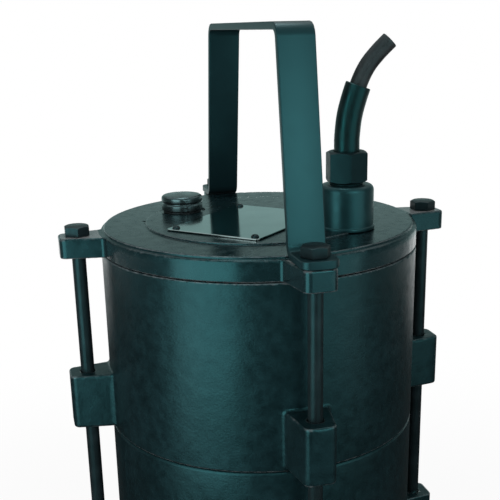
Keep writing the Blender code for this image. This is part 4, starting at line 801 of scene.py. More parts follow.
# Discharge bend. A cast-iron elbow that turns the outlet upwards, with a flange to the casing and
# a plain collar that holds the hose tail. It is bolted on, and painted with the casing.
bend_face = gasket_face + gasket_depth + seat_gap
bend_start = bend_face + flange_depth
bend_radius = 0.042
collar_radius = 0.036
collar_base = nozzle_height + bend_radius + 0.012
collar_top = collar_base + 0.018
socket_depth = 0.014
tube_inset = 0.004
riser = nozzle_point(bend_start + bend_radius)
tail_radius = 0.0255


def bend_field(x, y, z):
    """The discharge bend's distance field."""
    out, side, round_axis = along_nozzle(x, y, z)
    centre_z = nozzle_height + bend_radius
    across, up = out - bend_start, z - centre_z
    straight = np.where(across < 0, np.hypot(side, z - nozzle_height), np.inf)
    upright = np.where(up > 0, np.hypot(side, across - bend_radius), np.inf)
    curved = np.hypot(np.hypot(across, up) - bend_radius, side)
    curved = np.where((across >= 0) & (up <= 0), curved, np.inf)
    from_line = np.minimum(np.minimum(straight, upright), curved)
    ends = np.maximum(bend_face + tube_inset - out, z - collar_top + tube_inset)
    tube = meet(from_line - nozzle_radius, ends, 0.001)
    ring = meet(round_axis - discharge_flange, slab(out, bend_face, bend_start), cast_edge)
    from_riser = np.hypot(x - riser.x, y - riser.y)
    collar = meet(from_riser - collar_radius, slab(z, collar_base, collar_top), 0.0015)
    solid = join(join(tube, ring, 0.006), collar, 0.005)
    solid = meet(solid, bend_face - out, 0.0004)
    solid = meet(solid, nozzle_bore - from_line, 0.001)
    socket = meet(from_riser - tail_radius - seat_gap, collar_top - socket_depth - z, 0.0)
    solid = meet(solid, -socket, 0.0006)
    through = slab(out, bend_face - flange_depth, bend_start + overrun)
    return np.maximum(solid, -meet(flange_holes(side, z), through, 0.0))


bend = cast("outlet_bend", bend_field, "discharge_bend", 0.0010)
bend.data.materials.append(cast_paint("bend_enamel"))
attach(bend, "pump_body")
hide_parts("discharge_bend")

# Discharge bolts. Four zinc-plated hexagon bolts through both flanges of the outlet, with their
# heads on the bend's flange. They squeeze the gasket.
flange_bolt = hex_bolt(
    "flange_bolt", small_flats, small_head, small_shank, length=0.020, pitch=small_pitch, threaded=0.012
)
outlet_bolts = bolt_ring(
    "outlet_bolts",
    flange_bolt,
    zinc,
    nozzle_point(bend_start + seat_gap),
    discharge,
    Count=4,
    Circle=flange_bolt_circle,
    First=math.pi / 4,
)
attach(outlet_bolts, "pump_body")
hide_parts(*[f"discharge_bolt_{index}" for index in range(1, 5)])

# Hose tail. A turned steel spigot for 50 mm hose, pressed into the bend's collar, with a round
# shoulder that the hose stops at and three barbs that keep it on.
tail_low, tail_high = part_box("hose_tail")
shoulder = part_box("discharge_bend")[1].z + seat_gap
shoulder_radius = 0.032
barb_base = shoulder + 0.008
barb = 0.0015
barbs = 3
barb_pitch = 0.017
barb_lead = 0.3 * barb_pitch
barb_rise = 0.05 * barb_pitch


def turned_steel(name):
    """Turned steel: bright, with fine rings left by the tool."""
    material, tree, shader = finish(name, 0.3, 1.0)
    rings = noise(tree, 500, 1, (0.05, 0.05, 8))
    cloud = noise(tree, 70, 3)
    greys = [(0.3, (0.36, 0.36, 0.37)), (0.55, (0.46, 0.46, 0.47)), (0.75, (0.54, 0.54, 0.54))]
    tint(tree, shader, cloud, greys)
    dull(tree, shader, rings, 0.24, 0.4)
    bump(tree, shader, rings, 0.00008, 0.5)
    return material


tail_corners = [
    (nozzle_bore, tail_low.z, 0.0006),
    (tail_radius, tail_low.z, 0.0006),
    (tail_radius, shoulder, 0),
    (shoulder_radius, shoulder, 0.0008),
    (shoulder_radius, barb_base, 0.0008),
    (tail_radius - barb, barb_base, 0.001),
]
for index in range(barbs):
    foot = barb_base + index * barb_pitch + barb_lead
    tail_corners.append((tail_radius - barb, foot, 0.0003))
    tail_corners.append((tail_radius + barb, foot + barb_rise, 0.0003))
tail_corners.append((tail_radius - barb, tail_high.z, 0.0008))
tail_corners.append((nozzle_bore, tail_high.z, 0.0012))
tail = turned("hose_spigot", tail_corners, (riser.x, riser.y, 0))
tail.data.materials.append(turned_steel("bright_steel"))
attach(tail, "pump_body")
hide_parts("hose_tail")

# Casing gasket. A pressed fibre ring between the casing and the seal plate, which the tie bolts
# squeeze. Only its brown edge shows.
gasket_base, gasket_top = (corner.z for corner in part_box("casing_gasket"))
ring_inner = 0.108
ring_corners = [
    (ring_inner, gasket_base, 0),
    (body_radius, gasket_base, 0.0003),
    (body_radius, gasket_top, 0.0003),
    (ring_inner, gasket_top, 0),
]
casing_gasket = turned("casing_ring", ring_corners, sides=160)
casing_gasket.data.materials.append(pressed_fibre("ring_fibre"))
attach(casing_gasket, "pump_body")
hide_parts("casing_gasket")

# Seal plate. A dished casting that closes the oil chamber from below and holds the lower seal
# seat. It is clamped between casing and lower housing, and its rim is painted with them.
seal_base, seal_top = (corner.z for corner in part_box("seal_plate"))
shaft_hole = 0.0165
seat_radius = 0.0238
seat_floor = seal_base + 0.004
dish_floor = seal_base + 0.012
seal_corners = [
    (shaft_hole, seal_base, 0.0006),
    (body_radius, seal_base, cast_edge),
    (body_radius, seal_top, cast_edge),
    (ring_inner, seal_top, 0.0006),
    (ring_inner, dish_floor, 0.004),
    (seat_radius, dish_floor, 0.0006),
    (seat_radius, seat_floor, 0.0004),
    (shaft_hole, seat_floor, 0.0004),
]
seal_plate = turned("seal_floor", seal_corners, sides=160)
seal_plate.data.materials.append(cast_paint("seal_plate_enamel"))
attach(seal_plate, "pump_body")
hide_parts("seal_plate")

# Lower housing. The turned casting of the oil chamber: a drum with a web that carries the lower
# bearing, a spigot on top for the motor housing, and a tapped hole for the oil plug.
lower_base = seal_top + seat_gap
motor_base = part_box("motor_housing")[0].z
lower_top = motor_base - seat_gap
web_base = lower_base + 0.022
web_top = web_base + 0.010
hub_base = web_base - 0.006
hub_seat = web_base + 0.0023
hub_foot = 0.0445
hub_radius = 0.0338
bearing_relief = 0.030
bearing_seat = 0.0363
bearing_boss = 0.0463
boss_rim = web_top + 0.0193
dry_bore = 0.0927
spigot_radius = 0.1007
spigot_top = lower_top + 0.006
lower_corners = [
    (body_radius, lower_top, 0.0022),
    (body_radius, lower_base, cast_edge),
    (ring_inner, lower_base, 0.0006),
    (ring_inner, web_base, 0.004),
    (hub_foot, web_base, 0.002),
    (hub_radius, hub_base, 0.001),
    (seat_radius, hub_base, 0.0004),
    (seat_radius, hub_seat, 0.0004),
    (shaft_hole, hub_seat, 0.0004),
    (bearing_relief, web_top, 0.0004),
    (bearing_seat, web_top, 0.0004),
    (bearing_seat, boss_rim, 0.0006),
    (bearing_boss, boss_rim, 0.0015),
    (bearing_boss, web_top, 0.003),
    (dry_bore, web_top, 0.004),
    (dry_bore, spigot_top, 0.0006),
    (spigot_radius, spigot_top, 0.0006),
    (spigot_radius, lower_top, 0.0003),
]
lower_housing = turned("oil_housing", lower_corners, sides=160)
oil_hole = 0.0073
drill_start, drill_end = 0.10, 0.13
oil_way = Vector((-math.sqrt(0.5), -math.sqrt(0.5), 0))
oil_height = UP * (lower_base + 0.011)
oil_drill = (oil_way * drill_start + oil_height, oil_way * drill_end + oil_height)
drill(lower_housing, [oil_drill], oil_hole)
lower_housing.data.materials.append(cast_paint("oil_housing_enamel"))
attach(lower_housing, "pump_body")
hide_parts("lower_housing")

# Oil plug. A brass hexagon plug screwed into the lower housing, which is taken out to fill the
# chamber round the shaft seals with oil, or to drain it.
large_flats = 0.017


def worn_brass(name):
    """Brass, browned in clouds, and brighter and smoother between them."""
    material, tree, shader = finish(name, 0.36, 1.0)
    cloud = noise(tree, 220, 4)
    yellows = [(0.3, (0.26, 0.17, 0.06)), (0.52, (0.47, 0.33, 0.12)), (0.74, (0.62, 0.46, 0.18))]
    tint(tree, shader, cloud, yellows)
    dull(tree, shader, cloud, 0.48, 0.28)
    bump(tree, shader, noise(tree, 1300, 2), 0.00006, 0.4)
    return material


plug_bolt = hex_bolt(
    "plug_bolt", large_flats, small_head, radius=0.007, length=0.010, pitch=0.0015, threaded=0.007
)
oil_plug = bolt_ring(
    "drain_plug",
    plug_bolt,
    worn_brass("plug_brass"),
    oil_way * (body_radius + seat_gap) + oil_height,
    oil_way,
    Count=1,
    Circle=0.0,
    First=0.0,
)
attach(oil_plug, "pump_body")
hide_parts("oil_plug")

# Motor housing. The long plain drum round the motor, cast with four lugs at its foot that guide
# the tie bolts, bored inside, and painted.
motor_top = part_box("motor_housing")[1].z
lug_base = motor_base + 0.003
lug_top = lug_base + 0.0415
stator_seat = motor_base + 0.012
motor_bore = 0.106
register = 0.101
seal_bevel = 0.00486


def drum_field(x, y, z):
    """The motor housing's distance field."""
    away = np.hypot(x, y)
    height = slab(z, motor_base, motor_top)
    drum = meet(away - body_radius, height, 0.0009)
    lugs = meet(ears(x, y, ear_root), slab(z, lug_base, lug_top), 0.0016)
    solid = meet(join(drum, lugs, 0.0025), height, 0.0008)
    bore = np.minimum(away - register, np.maximum(away - motor_bore, stator_seat - z))
    bore = np.minimum(bore, (away - motor_bore - seal_bevel + motor_top - z) / math.sqrt(2))
    bore = np.minimum(bore, (away - register - seal_bevel + z - motor_base) / math.sqrt(2))
    return meet(meet(solid, -bore, 0.0004), -ear_holes(x, y), 0.0008)


drum = cast("motor_drum", drum_field, "motor_housing", 0.0012)
drum.data.materials.append(cast_paint("drum_enamel"))
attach(drum, "pump_body")
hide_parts("motor_housing")

# Works inside. Core, windings, rotor, bearings, seals and impeller, which only show in a cut
# view, keep the CAD shapes and take the finish of what each is made of.


def stacked_sheet(name):
    """Thin sheets of electrical steel, seen on edge as fine dark and pale layers."""
    material, tree, shader = finish(name, 0.5, 0.7)
    place = own_place(tree)
    sockets = {"Vector": place, "Scale": 300, "Distortion": 0.3}
    layers = node(tree, "ShaderNodeTexWave", sockets, bands_direction="Z").outputs["Fac"]
    mixed = maths(tree, "MULTIPLY", layers, noise(tree, 60, 4))
    greys = [(0.05, (0.05, 0.05, 0.052)), (0.35, (0.15, 0.15, 0.16)), (0.7, (0.22, 0.2, 0.19))]
    tint(tree, shader, mixed, greys)
    bump(tree, shader, layers, 0.0002, 0.6)
    return material


def wound_copper(name):
    """Varnished copper wire, wound round the bore in many turns."""
    material, tree, shader = finish(name, 0.32, 0.9, Coat_Weight=0.5)
    place = own_place(tree)
    sockets = {"Vector": place, "Scale": 110, "Distortion": 2.5}
    turns = node(tree, "ShaderNodeTexWave", sockets, wave_type="RINGS", rings_direction="Z").outputs["Fac"]
    reds = [(0.1, (0.10, 0.035, 0.015)), (0.5, (0.42, 0.16, 0.06)), (0.9, (0.60, 0.27, 0.11))]
    tint(tree, shader, turns, reds)
    bump(tree, shader, turns, 0.0005, 0.7)
    return material


def soft_rubber(name, tone=0.008, gloss=0.5, shine=0.22, grain=1.0, red=0.5):
    """Black rubber, a little dusty, with a fine moulded grain."""
    cool = (red, 0.95, 1.0, 1)
    material, tree, shader = finish(name, gloss, Specular_IOR_Level=shine, Specular_Tint=cool)
    dust = noise(tree, 150, 4)
    blacks = [tuple(tone * share * part for part in (0.95, 1.0, 1.05)) for share in (0.7, 1.0, 1.6)]
    tint(tree, shader, dust, list(zip((0.3, 0.55, 0.78), blacks)))
    dull(tree, shader, dust, gloss - 0.06, gloss + 0.1)
    bump(tree, shader, noise(tree, 900, 2), 0.00008 * grain, 0.5)
    return material


def ground_ceramic(name):
    """Ground ceramic: off-white, dense, with faint grey flecks."""
    material, tree, shader = finish(name, 0.3)
    flecks = noise(tree, 800, 3)
    whites = [(0.3, (0.42, 0.40, 0.36)), (0.5, (0.56, 0.54, 0.49)), (0.75, (0.64, 0.62, 0.58))]
    tint(tree, shader, flecks, whites)
    return material


bearing_parts = ["bearing_retainer"]
for end in ("upper", "lower"):
    bearing_parts += [f"{end}_bearing_{part}" for part in ("outer_ring", "inner_ring", "balls")]
shaft_parts = ["shaft", "impeller_key", "impeller_washer", "impeller_nut", "shaft_seal_unit"]
inside = {
    stacked_sheet("core_sheet"): ["stator_core", "rotor_core"],
    wound_copper("winding_wire"): ["upper_winding", "lower_winding"],
    soft_rubber("seal_rubber"): ["housing_seal", "cover_seal", "gland_bush"],
    ground_ceramic("seal_ceramic"): ["lower_seal_seat", "upper_seal_seat"],
    bare_iron("impeller_iron"): ["impeller"],
    turned_steel("shaft_steel"): shaft_parts,
    turned_steel("bearing_steel"): bearing_parts,
}
for material, names in inside.items():
    for name in names:
        frame["nodes"][name].data.materials.clear()
        frame["nodes"][name].data.materials.append(material)

# Top cover. The cast lid: a stepped rim with four ears under the bolt heads, a raised round pad,
# spot faces for gland and plug, and below it a spigot and the upper bearing's boss.
cover_base = motor_top + seat_gap
cover_top = cover_base + 0.0165
ear_top = cover_top - 0.002
underside = cover_top - 0.010
lid_radius = body_radius - 0.0025
lid_ear_root = 0.105
pad_radius = 0.0845
pad_top = cover_top + 0.0012
rim_inner = 0.1017
spigot_inner, spigot_outer = 0.0977, 0.1057
spigot_base = cover_base - 0.0063
boss_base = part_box("top_cover")[0].z
boss_radius = 0.0413
upper_seat = 0.0313
upper_seat_top = boss_base + 0.0153
relief_radius, relief_depth = 0.0253, 0.003
gland_spot = Vector((0.0513, -0.0513, 0))
gland_face, gland_hole = 0.0205, 0.0143
plug_spot = Vector((-0.0488, 0.0488, 0))
plug_face, plug_hole = 0.018, 0.0083
bare_tone = (0.13, 0.14, 0.143, 1)


def lid_field(x, y, z):
    """The top cover's distance field."""
    away = np.hypot(x, y)
    rim = join(away - body_radius, ears(x, y, lid_ear_root), 0.0025)
    rim = meet(meet(rim, z - ear_top, 0.0018), cover_base - z, 0.0008)
    rim = np.maximum(rim, rim_inner - away)
    lid = meet(away - lid_radius, slab(z, underside, cover_top), 0.0011)
    pad = meet(away - pad_radius, slab(z, underside, pad_top), 0.0006)
    lid = join(lid, pad, 0.0005)
    into_lid = underside + 0.003
    spigot = meet(slab(away, spigot_inner, spigot_outer), slab(z, spigot_base, into_lid), 0.0006)
    boss = meet(away - boss_radius, slab(z, boss_base, into_lid), cast_edge)
    solid = join(join(join(lid, rim, 0.0008), spigot, 0.0008), boss, 0.003)
    seat = np.maximum(away - upper_seat, z - upper_seat_top)
    slope = relief_depth * (1 - away / relief_radius)
    relief = np.maximum(z - upper_seat_top - slope, away - relief_radius)
    solid = meet(solid, -np.minimum(seat, relief), 0.0005)
    for place, face, hole in ((gland_spot, gland_face, gland_hole), (plug_spot, plug_face, plug_hole)):
        off = np.hypot(x - place.x, y - place.y)
        solid = meet(solid, -np.maximum(off - face, cover_top - 0.0002 - z), 0.0003)
        solid = meet(solid, hole - off, 0.0003)
    return meet(solid, -ear_holes(x, y), 0.0006)


lid = cast("pump_lid", lid_field, "top_cover", 0.0008)

# The ears' tops are faced for the bolt heads and the handle, and left bare.
lid_enamel = cast_paint("lid_enamel", gloss=0.23, grain=0.3)
tree = lid_enamel.node_tree
shader = tree.nodes["Principled BSDF"]
place = own_place(tree)
height = node(tree, "ShaderNodeSeparateXYZ", {"Vector": place}).outputs["Z"]
sockets = {0: place, 1: (1, 1, 0)}
flat = node(tree, "ShaderNodeVectorMath", sockets, operation="MULTIPLY").outputs["Vector"]
away = node(tree, "ShaderNodeVectorMath", {0: flat}, operation="LENGTH").outputs["Value"]
level = maths(tree, "COMPARE", height, ear_top, 0.00008)
outer = maths(tree, "GREATER_THAN", away, body_radius + 0.0015)
faced = maths(tree, "MULTIPLY", level, outer)
tool_marks = spread(tree, noise(tree, 900, 2), 0.24, 0.36)
for socket, bare in (("Base Color", bare_tone), ("Roughness", tool_marks)):
    painted = shader.inputs[socket].links[0].from_socket
    mixed = node(tree, "ShaderNodeMixRGB", {"Fac": faced, "Color1": painted, "Color2": bare})
    tree.links.new(mixed.outputs["Color"], shader.inputs[socket])
lid.data.materials.append(lid_enamel)
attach(lid, "pump_body")
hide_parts("top_cover")

# Rating plate. A bare satin sheet with small round corners, screwed flat onto the lid's pad and
# turned an eighth. Four dark round-headed screws hold it.
plate_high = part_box("rating_plate")[1].z
half_length, half_width = 0.0498, 0.0380
plate_corner = 0.003
plate_shift = Vector((-0.018, -0.001, 0))
plate_turn = math.pi / 4
screw_inset = 0.0055
screw_radius = 0.0028
screw_twist = 1.9
screw_slot_size = (0.008, 0.0007, 0.0022)
screw_slot_height = 0.0021
screw_tone = (0.008, 0.009, 0.01)


def satin_sheet(name):
    """Bare satin sheet metal with a fine grain along its length, a little smeared by hands."""
    material, tree, shader = finish(name, 0.16, 1.0)
    place = own_place(tree)
    sockets = {"Vector": place, "Rotation": (0, 0, -plate_turn)}
    turned_place = node(tree, "ShaderNodeMapping", sockets).outputs["Vector"]
    sockets = {"Vector": turned_place, "Scale": (40, 2400, 1)}
    drawn = node(tree, "ShaderNodeMapping", sockets).outputs["Vector"]
    grain = node(tree, "ShaderNodeTexNoise", {"Vector": drawn, "Scale": 1, "Detail": 3}).outputs["Fac"]
    smear = noise(tree, 45, 4)
    pales = [(0.3, (0.242, 0.32, 0.317)), (0.52, (0.275, 0.36, 0.356)), (0.75, (0.303, 0.388, 0.384))]
    tint(tree, shader, smear, pales)
    dull(tree, shader, grain, 0.07, 0.12)
    bump(tree, shader, grain, 0.000006, 0.3)
    return material


quarters = ((-1, -1), (1, -1), (1, 1), (-1, 1))
turn = Matrix.Rotation(plate_turn, 4, "Z")
rows = []
for drop, inset in ((0.0, 0.0003), (0.0003, 0.0), (0.0008, 0.0), (0.001, 0.0002)):
    far, wide = half_length - inset, half_width - inset
    outline = rounded([(a * far, b * wide, plate_corner - inset) for a, b in quarters])
    rows.append([turn @ (Vector((p.x, p.y, 0)) + plate_shift) + UP * (plate_high - drop) for p in outline])
plate = skin("rating_sheet", rows)
plate.data.materials.append(satin_sheet("satin_metal"))
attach(plate, "pump_body")
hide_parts("rating_plate")

grid_tree, given = new_tree(
    "screw_grid",
    Screw="Object",
    Length="Float",
    Width="Float",
    Shift="Vector",
    Place="Vector",
    Turn="Vector",
    Finish="Material",
)
pattern = node(grid_tree, "GeometryNodeObjectInfo", {"Object": given["Screw"], "As Instance": True})
sockets = {"Size X": given["Length"], "Size Y": given["Width"], "Vertices X": 2, "Vertices Y": 2}
spots = node(grid_tree, "GeometryNodeMeshGrid", sockets)
index = node(grid_tree, "GeometryNodeInputIndex").outputs["Index"]
sockets = {
    "Points": spots.outputs["Mesh"],
    "Instance": pattern.outputs["Geometry"],
    "Rotation": on_z(grid_tree, maths(grid_tree, "MULTIPLY", index, screw_twist)),
}
screws = node(grid_tree, "GeometryNodeInstanceOnPoints", sockets)
sockets = {"Geometry": screws.outputs["Instances"], "Translation": given["Shift"]}
shifted = node(grid_tree, "GeometryNodeTransform", sockets)
sockets = {
    "Geometry": shifted.outputs["Geometry"],
    "Translation": given["Place"],
    "Rotation": given["Turn"],
}
seated = node(grid_tree, "GeometryNodeTransform", sockets)
give(grid_tree, seated.outputs["Geometry"], given["Finish"])

screw_head = [
    (0, 0.0018, 0),
    (0.0016, 0.0017, 0.0012),
    (screw_radius, 0.0006, 0.0006),
    (screw_radius, 0, 0),
    (0, 0, 0),
]
screw = turned("plate_screw", screw_head, sides=40)
slot_bar = bmesh.new()
slot_place = Matrix.Translation((0, 0, screw_slot_height)) @ Matrix.Diagonal((*screw_slot_size, 1))
bmesh.ops.create_cube(slot_bar, size=1.0, matrix=slot_place)
cut(screw, piece("screw_slot", slot_bar))
screws = bpy.data.objects.new("plate_screws", bpy.data.meshes.new("plate_screws"))
scene.collection.objects.link(screws)
grow(
    screws,
    grid_tree,
    Screw=screw,
    Length=2 * (half_length - screw_inset),
    Width=2 * (half_width - screw_inset),
    Shift=tuple(plate_shift),
    Place=(0, 0, plate_high),
    Turn=(0, 0, plate_turn),
    Finish=black_steel("screw_black", screw_tone),
)
screws.data.set_sharp_from_angle(angle=math.radians(35))
bpy.data.objects.remove(screw)
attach(screws, "pump_body")

# Test plug. A round cap moulded with one groove about its middle, so that fingers can turn it,
# on a rubber washer. It closes the hole that the motor chamber is tested through.
plug_foot = plug_spot + UP * cover_top
washer_radius, washer_top = 0.015, 0.0018
cap_radius, cap_top = 0.016, 0.0136
cap_base = washer_top + seat_gap
groove_radius = 0.0146
stem_radius, stem_end = 0.008, -0.010
washer_corners = [
    (plug_hole, seat_gap, 0),
    (washer_radius, seat_gap, 0.0005),
    (washer_radius, washer_top, 0.0005),
    (plug_hole, washer_top, 0),
]
washer = turned("plug_ring", washer_corners, plug_foot)
washer.data.materials.append(soft_rubber("washer_rubber"))
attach(washer, "pump_body")
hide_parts("test_plug_washer")
cap_corners = [
    (0, cap_top, 0),
    (cap_radius, cap_top, 0.0024),
    (cap_radius, 0.0092, 0.0005),
    (groove_radius, 0.0078, 0.0006),
    (cap_radius, 0.0064, 0.0005),
    (cap_radius, cap_base, 0.0008),
    (stem_radius, cap_base, 0),
    (stem_radius, stem_end, 0.0008),
    (0, stem_end, 0),
]
cap = turned("plug_cap", cap_corners, plug_foot)
cap.data.materials.append(soft_rubber("moulded_black", tone=0.006, gloss=0.24, shine=0.8, grain=0.15))
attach(cap, "pump_body")
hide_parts("test_plug")

# Cable gland. A round painted body seated in the lid, and a hexagon nut with a plain neck, which
# squeezes a rubber bush round the cable.
gland_foot = gland_spot + UP * cover_top
gland_stem, gland_base = 0.014, -0.009
gland_bore = 0.0073
bush_bore, bush_floor = 0.0116, 0.012
lip_radius = 0.0202
gland_radius, gland_top = 0.0194, 0.0318
gland_corners = [
    (gland_bore, gland_base, 0.0004),
    (gland_stem, gland_base, 0.0008),
    (gland_stem, seat_gap, 0),
    (lip_radius, seat_gap, 0.0006),
    (lip_radius, 0.0026, 0.0009),
    (gland_radius, 0.0032, 0.0005),
    (gland_radius, gland_top, 0.004),
    (bush_bore, gland_top, 0.0006),
    (bush_bore, bush_floor, 0.0003),
    (gland_bore, bush_floor, 0.0003),
]
gland = turned("gland_boss", gland_corners, gland_foot)
gland.data.materials.append(cast_paint("gland_enamel", gloss=0.38, grain=0.5, shine=0.42))
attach(gland, "pump_body")
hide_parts("gland_body")

nut_flats = 0.0265
nut_base, nut_top = 0.0333, 0.0548
nut_turn = math.radians(-7.6)
nut_bevel = 0.0006
neck_radius, neck_base = 0.0113, 0.0233
cable_hole = 0.0063
mouth_radius, mouth_floor = 0.0092, 0.0445
hex_ring, ways = hex_rows(nut_flats, nut_base, nut_top, True)
rows = [
    round_row(ways, mouth_radius, nut_top - nut_bevel),
    round_row(ways, mouth_radius + nut_bevel, nut_top),
    *hex_ring,
    round_row(ways, neck_radius + nut_bevel, nut_base),
    round_row(ways, neck_radius, nut_base - nut_bevel),
    round_row(ways, neck_radius, neck_base + nut_bevel),
    round_row(ways, neck_radius - nut_bevel, neck_base),
    round_row(ways, cable_hole, neck_base),
    round_row(ways, cable_hole, mouth_floor),
    round_row(ways, mouth_radius, mouth_floor),
]
turn = Matrix.Translation(gland_foot) @ Matrix.Rotation(nut_turn, 4, "Z")
gland_nut = skin("gland_hexagon", [[turn @ point for point in row] for row in rows], 30, closed=True)
# The nut's tones are made darker than the castings' paint, as painted shade.
gland_nut.data.materials.append(cast_paint("nut_enamel", gloss=0.4, grain=0.4, painted_light_scale=0.8, shine=0.14))
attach(gland_nut, "pump_body")
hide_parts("gland_nut")

# Power cable. Black rubber cable, 12 mm thick, that rises out of the gland nut through a short
# rubber sleeve, leans to one side, and is cut square.
cable_radius = 0.006
nut_mouth = gland_foot + UP * nut_top
lean = math.radians(-14.5)
lean_way = Vector((math.cos(lean), math.sin(lean), 0))
cable_route = [
    (0, -0.026),
    (0, -0.010),
    (0, 0),
    (0.0002, 0.0113),
    (0.0022, 0.0267),
    (0.0075, 0.0447),
    (0.0131, 0.0567),
    (0.0205, 0.066),
    (0.0285, 0.074),
]


def smooth_line(knots, steps):
    """A smooth curve through knots, with so many points from each to the next."""
    knots = [2 * knots[0] - knots[1], *knots, 2 * knots[-1] - knots[-2]]
    line = []
    for a, b, c, d in zip(knots, knots[1:], knots[2:], knots[3:]):
        for step in range(steps):
            t = step / steps
            bend = 2 * a - 5 * b + 4 * c - d
            twist = 3 * b - a - 3 * c + d
            line.append(0.5 * (2 * b + (c - a) * t + bend * t**2 + twist * t**3))
    return [*line, knots[-2]]


def points_at(line, lengths):
    """The points of a line at given lengths along it."""
    marks = [0.0]
    for a, b in zip(line, line[1:]):
        marks.append(marks[-1] + (b - a).length)
    courses = [[spot[axis] for spot in line] for axis in range(3)]
    return [Vector([np.interp(far, marks, course) for course in courses]) for far in lengths]


def ring_at(line, far, radius, sides=48):
    """A ring of points round a line that bends in one plane, square to it, at one length along it."""
    back, here, ahead = points_at(line, (far - 0.0005, far, far + 0.0005))
    flat = lean_way.cross(UP).normalized()
    front = flat.cross(ahead - back).normalized()
    angles = np.linspace(0, 2 * math.pi, sides, endpoint=False)
    return [here + (flat * math.cos(a) + front * math.sin(a)) * radius for a in angles]


route = smooth_line([nut_mouth + lean_way * a + UP * b for a, b in cable_route], 20)
cable_length = sum((b - a).length for a, b in zip(route, route[1:]))
core_recess = 0.0006
cut_end = ((0.0002, 0.00585), (0, 0.0055), (0, 0.0049), (core_recess, 0.0047))
cable_rows = [ring_at(route, far, cable_radius) for far in np.linspace(0, cable_length - core_recess, 70)]
for back, radius in cut_end:
    cable_rows.append(ring_at(route, cable_length - back, radius))
cable = skin("mains_cable", cable_rows)
cable.data.materials.append(soft_rubber("cable_rubber", tone=0.014, gloss=0.42))

sleeve_start, sleeve_end = 0.0163, 0.0715
sleeve_radius, sleeve_bore = 0.0089, 0.0063
sleeve_bevel = 0.0004
along_sleeve = [sleeve_start, sleeve_start + sleeve_bevel]
along_sleeve += [*np.linspace(sleeve_start, sleeve_end, 40)[1:-1], sleeve_end - 0.0005, sleeve_end]
outer_rows, inner_rows = [], []
for far in along_sleeve:
    inset = sleeve_bevel if far in (sleeve_start, sleeve_end) else 0.0
    outer_rows.append(ring_at(route, far, sleeve_radius - inset))
    inner_rows.append(ring_at(route, far, sleeve_bore + inset))
sleeve = skin("cable_boot", outer_rows + inner_rows[::-1], closed=True)
sleeve_rubber = soft_rubber("sleeve_rubber", tone=0.004, gloss=0.34, shine=0.26, grain=1.6, red=0.1)
sleeve.data.materials.append(sleeve_rubber)
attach(sleeve, "pump_body")
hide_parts("cable_sleeve")

core_radius, strand_radius = 0.0019, 0.0010
cut_way = (route[-1] - route[-2]).normalized()
core_base = route[-1] - cut_way * core_recess
core_foot = -0.0010
core_corners = [
    (strand_radius, core_foot, 0),
    (core_radius, core_foot, 0),
    (core_radius, 0.0005, 0.0002),
    (strand_radius, 0.0005, 0.0001),
]
strand_corners = [
    (0, 0.0004, 0),
    (strand_radius, 0.0003, 0.0001),
    (strand_radius, core_foot, 0),
    (0, core_foot, 0),
]
core = turned("core", core_corners, sides=32)
strand = turned("strand", strand_corners)
core_rubber = soft_rubber("core_rubber", tone=0.05, gloss=0.5)
strand_copper = wound_copper("strand_copper")
around = {"Count": 3, "Circle": 0.0024, "First": 0.5}
cores = bolt_ring("cable_cores", core, core_rubber, core_base, cut_way, **around)
strands = bolt_ring("core_strands", strand, strand_copper, core_base, cut_way, **around)
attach(cores, "pump_body")
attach(strands, "pump_body")
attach(cable, "pump_body")
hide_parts("power_cable")

# Lifting handle. Flat bar, 25 by 5 mm, bent into a bow with round-cornered feet, which the front
# and rear tie bolts clamp onto the lid's ears. It is painted with the castings.
strap_half = 0.0125
strap_thick = 0.005
strap_edge = 0.0007
foot_corner = 0.006
foot_bend, foot_bend_radius = 0.1172, 0.007
top_bend, top_bend_radius = 0.0952, 0.008
foot_line = ear_top + seat_gap + strap_thick / 2
top_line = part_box("lifting_handle")[1].z - strap_thick / 2
bow = [
    (-ear_reach, foot_line, 0),
    (-foot_bend, foot_line, foot_bend_radius),
    (-top_bend, top_line, top_bend_radius),
    (top_bend, top_line, top_bend_radius),
    (foot_bend, foot_line, foot_bend_radius),
    (ear_reach, foot_line, 0),
]
bend_line = [Vector((0, p.x, p.y)) for p in rounded(bow, False)]
starts = [foot_corner * (1 - math.cos(math.radians(a))) for a in (0, 15, 30, 45, 60, 75, 90)]
foot_end = [bend_line[0] + Vector((0, start, 0)) for start in starts]
bend_line = [*foot_end, *bend_line[1:-1], *[Vector((0, -p.y, p.z)) for p in foot_end[::-1]]]
rows = []
for index, spot in enumerate(bend_line):
    before = bend_line[max(index - 1, 0)]
    after = bend_line[min(index + 1, len(bend_line) - 1)]
    way = ((spot - before).normalized() + (after - spot).normalized()).normalized()
    out = Vector((1, 0, 0)).cross(way)
    from_end = min(spot.y + ear_reach, ear_reach - spot.y)
    lost = foot_corner - math.sqrt(max(foot_corner**2 - max(foot_corner - from_end, 0) ** 2, 0))
    half = strap_half - lost
    section = rounded([(s * half, t * strap_thick / 2, strap_edge) for s, t in quarters])
    stretch = 1 / max(0.2, way.dot((after - spot).normalized())) if after != spot else 1
    rows.append([spot + Vector((p.x, 0, 0)) + out * p.y * stretch for p in section])
handle = skin("bow_handle", rows, 50)
reach = UP * 0.01
front, rear = Vector((0, -bolt_circle, foot_line)), Vector((0, bolt_circle, foot_line))
drill(handle, [(front - reach, front + reach), (rear - reach, rear + reach)], bolt_hole)
# The handle's tones are made lighter than the castings' paint, as painted light.
handle.data.materials.append(cast_paint("handle_enamel", gloss=0.36, grain=0.06, painted_light_scale=1.2, uneven=0.2))
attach(handle, "pump_body")
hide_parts("lifting_handle")

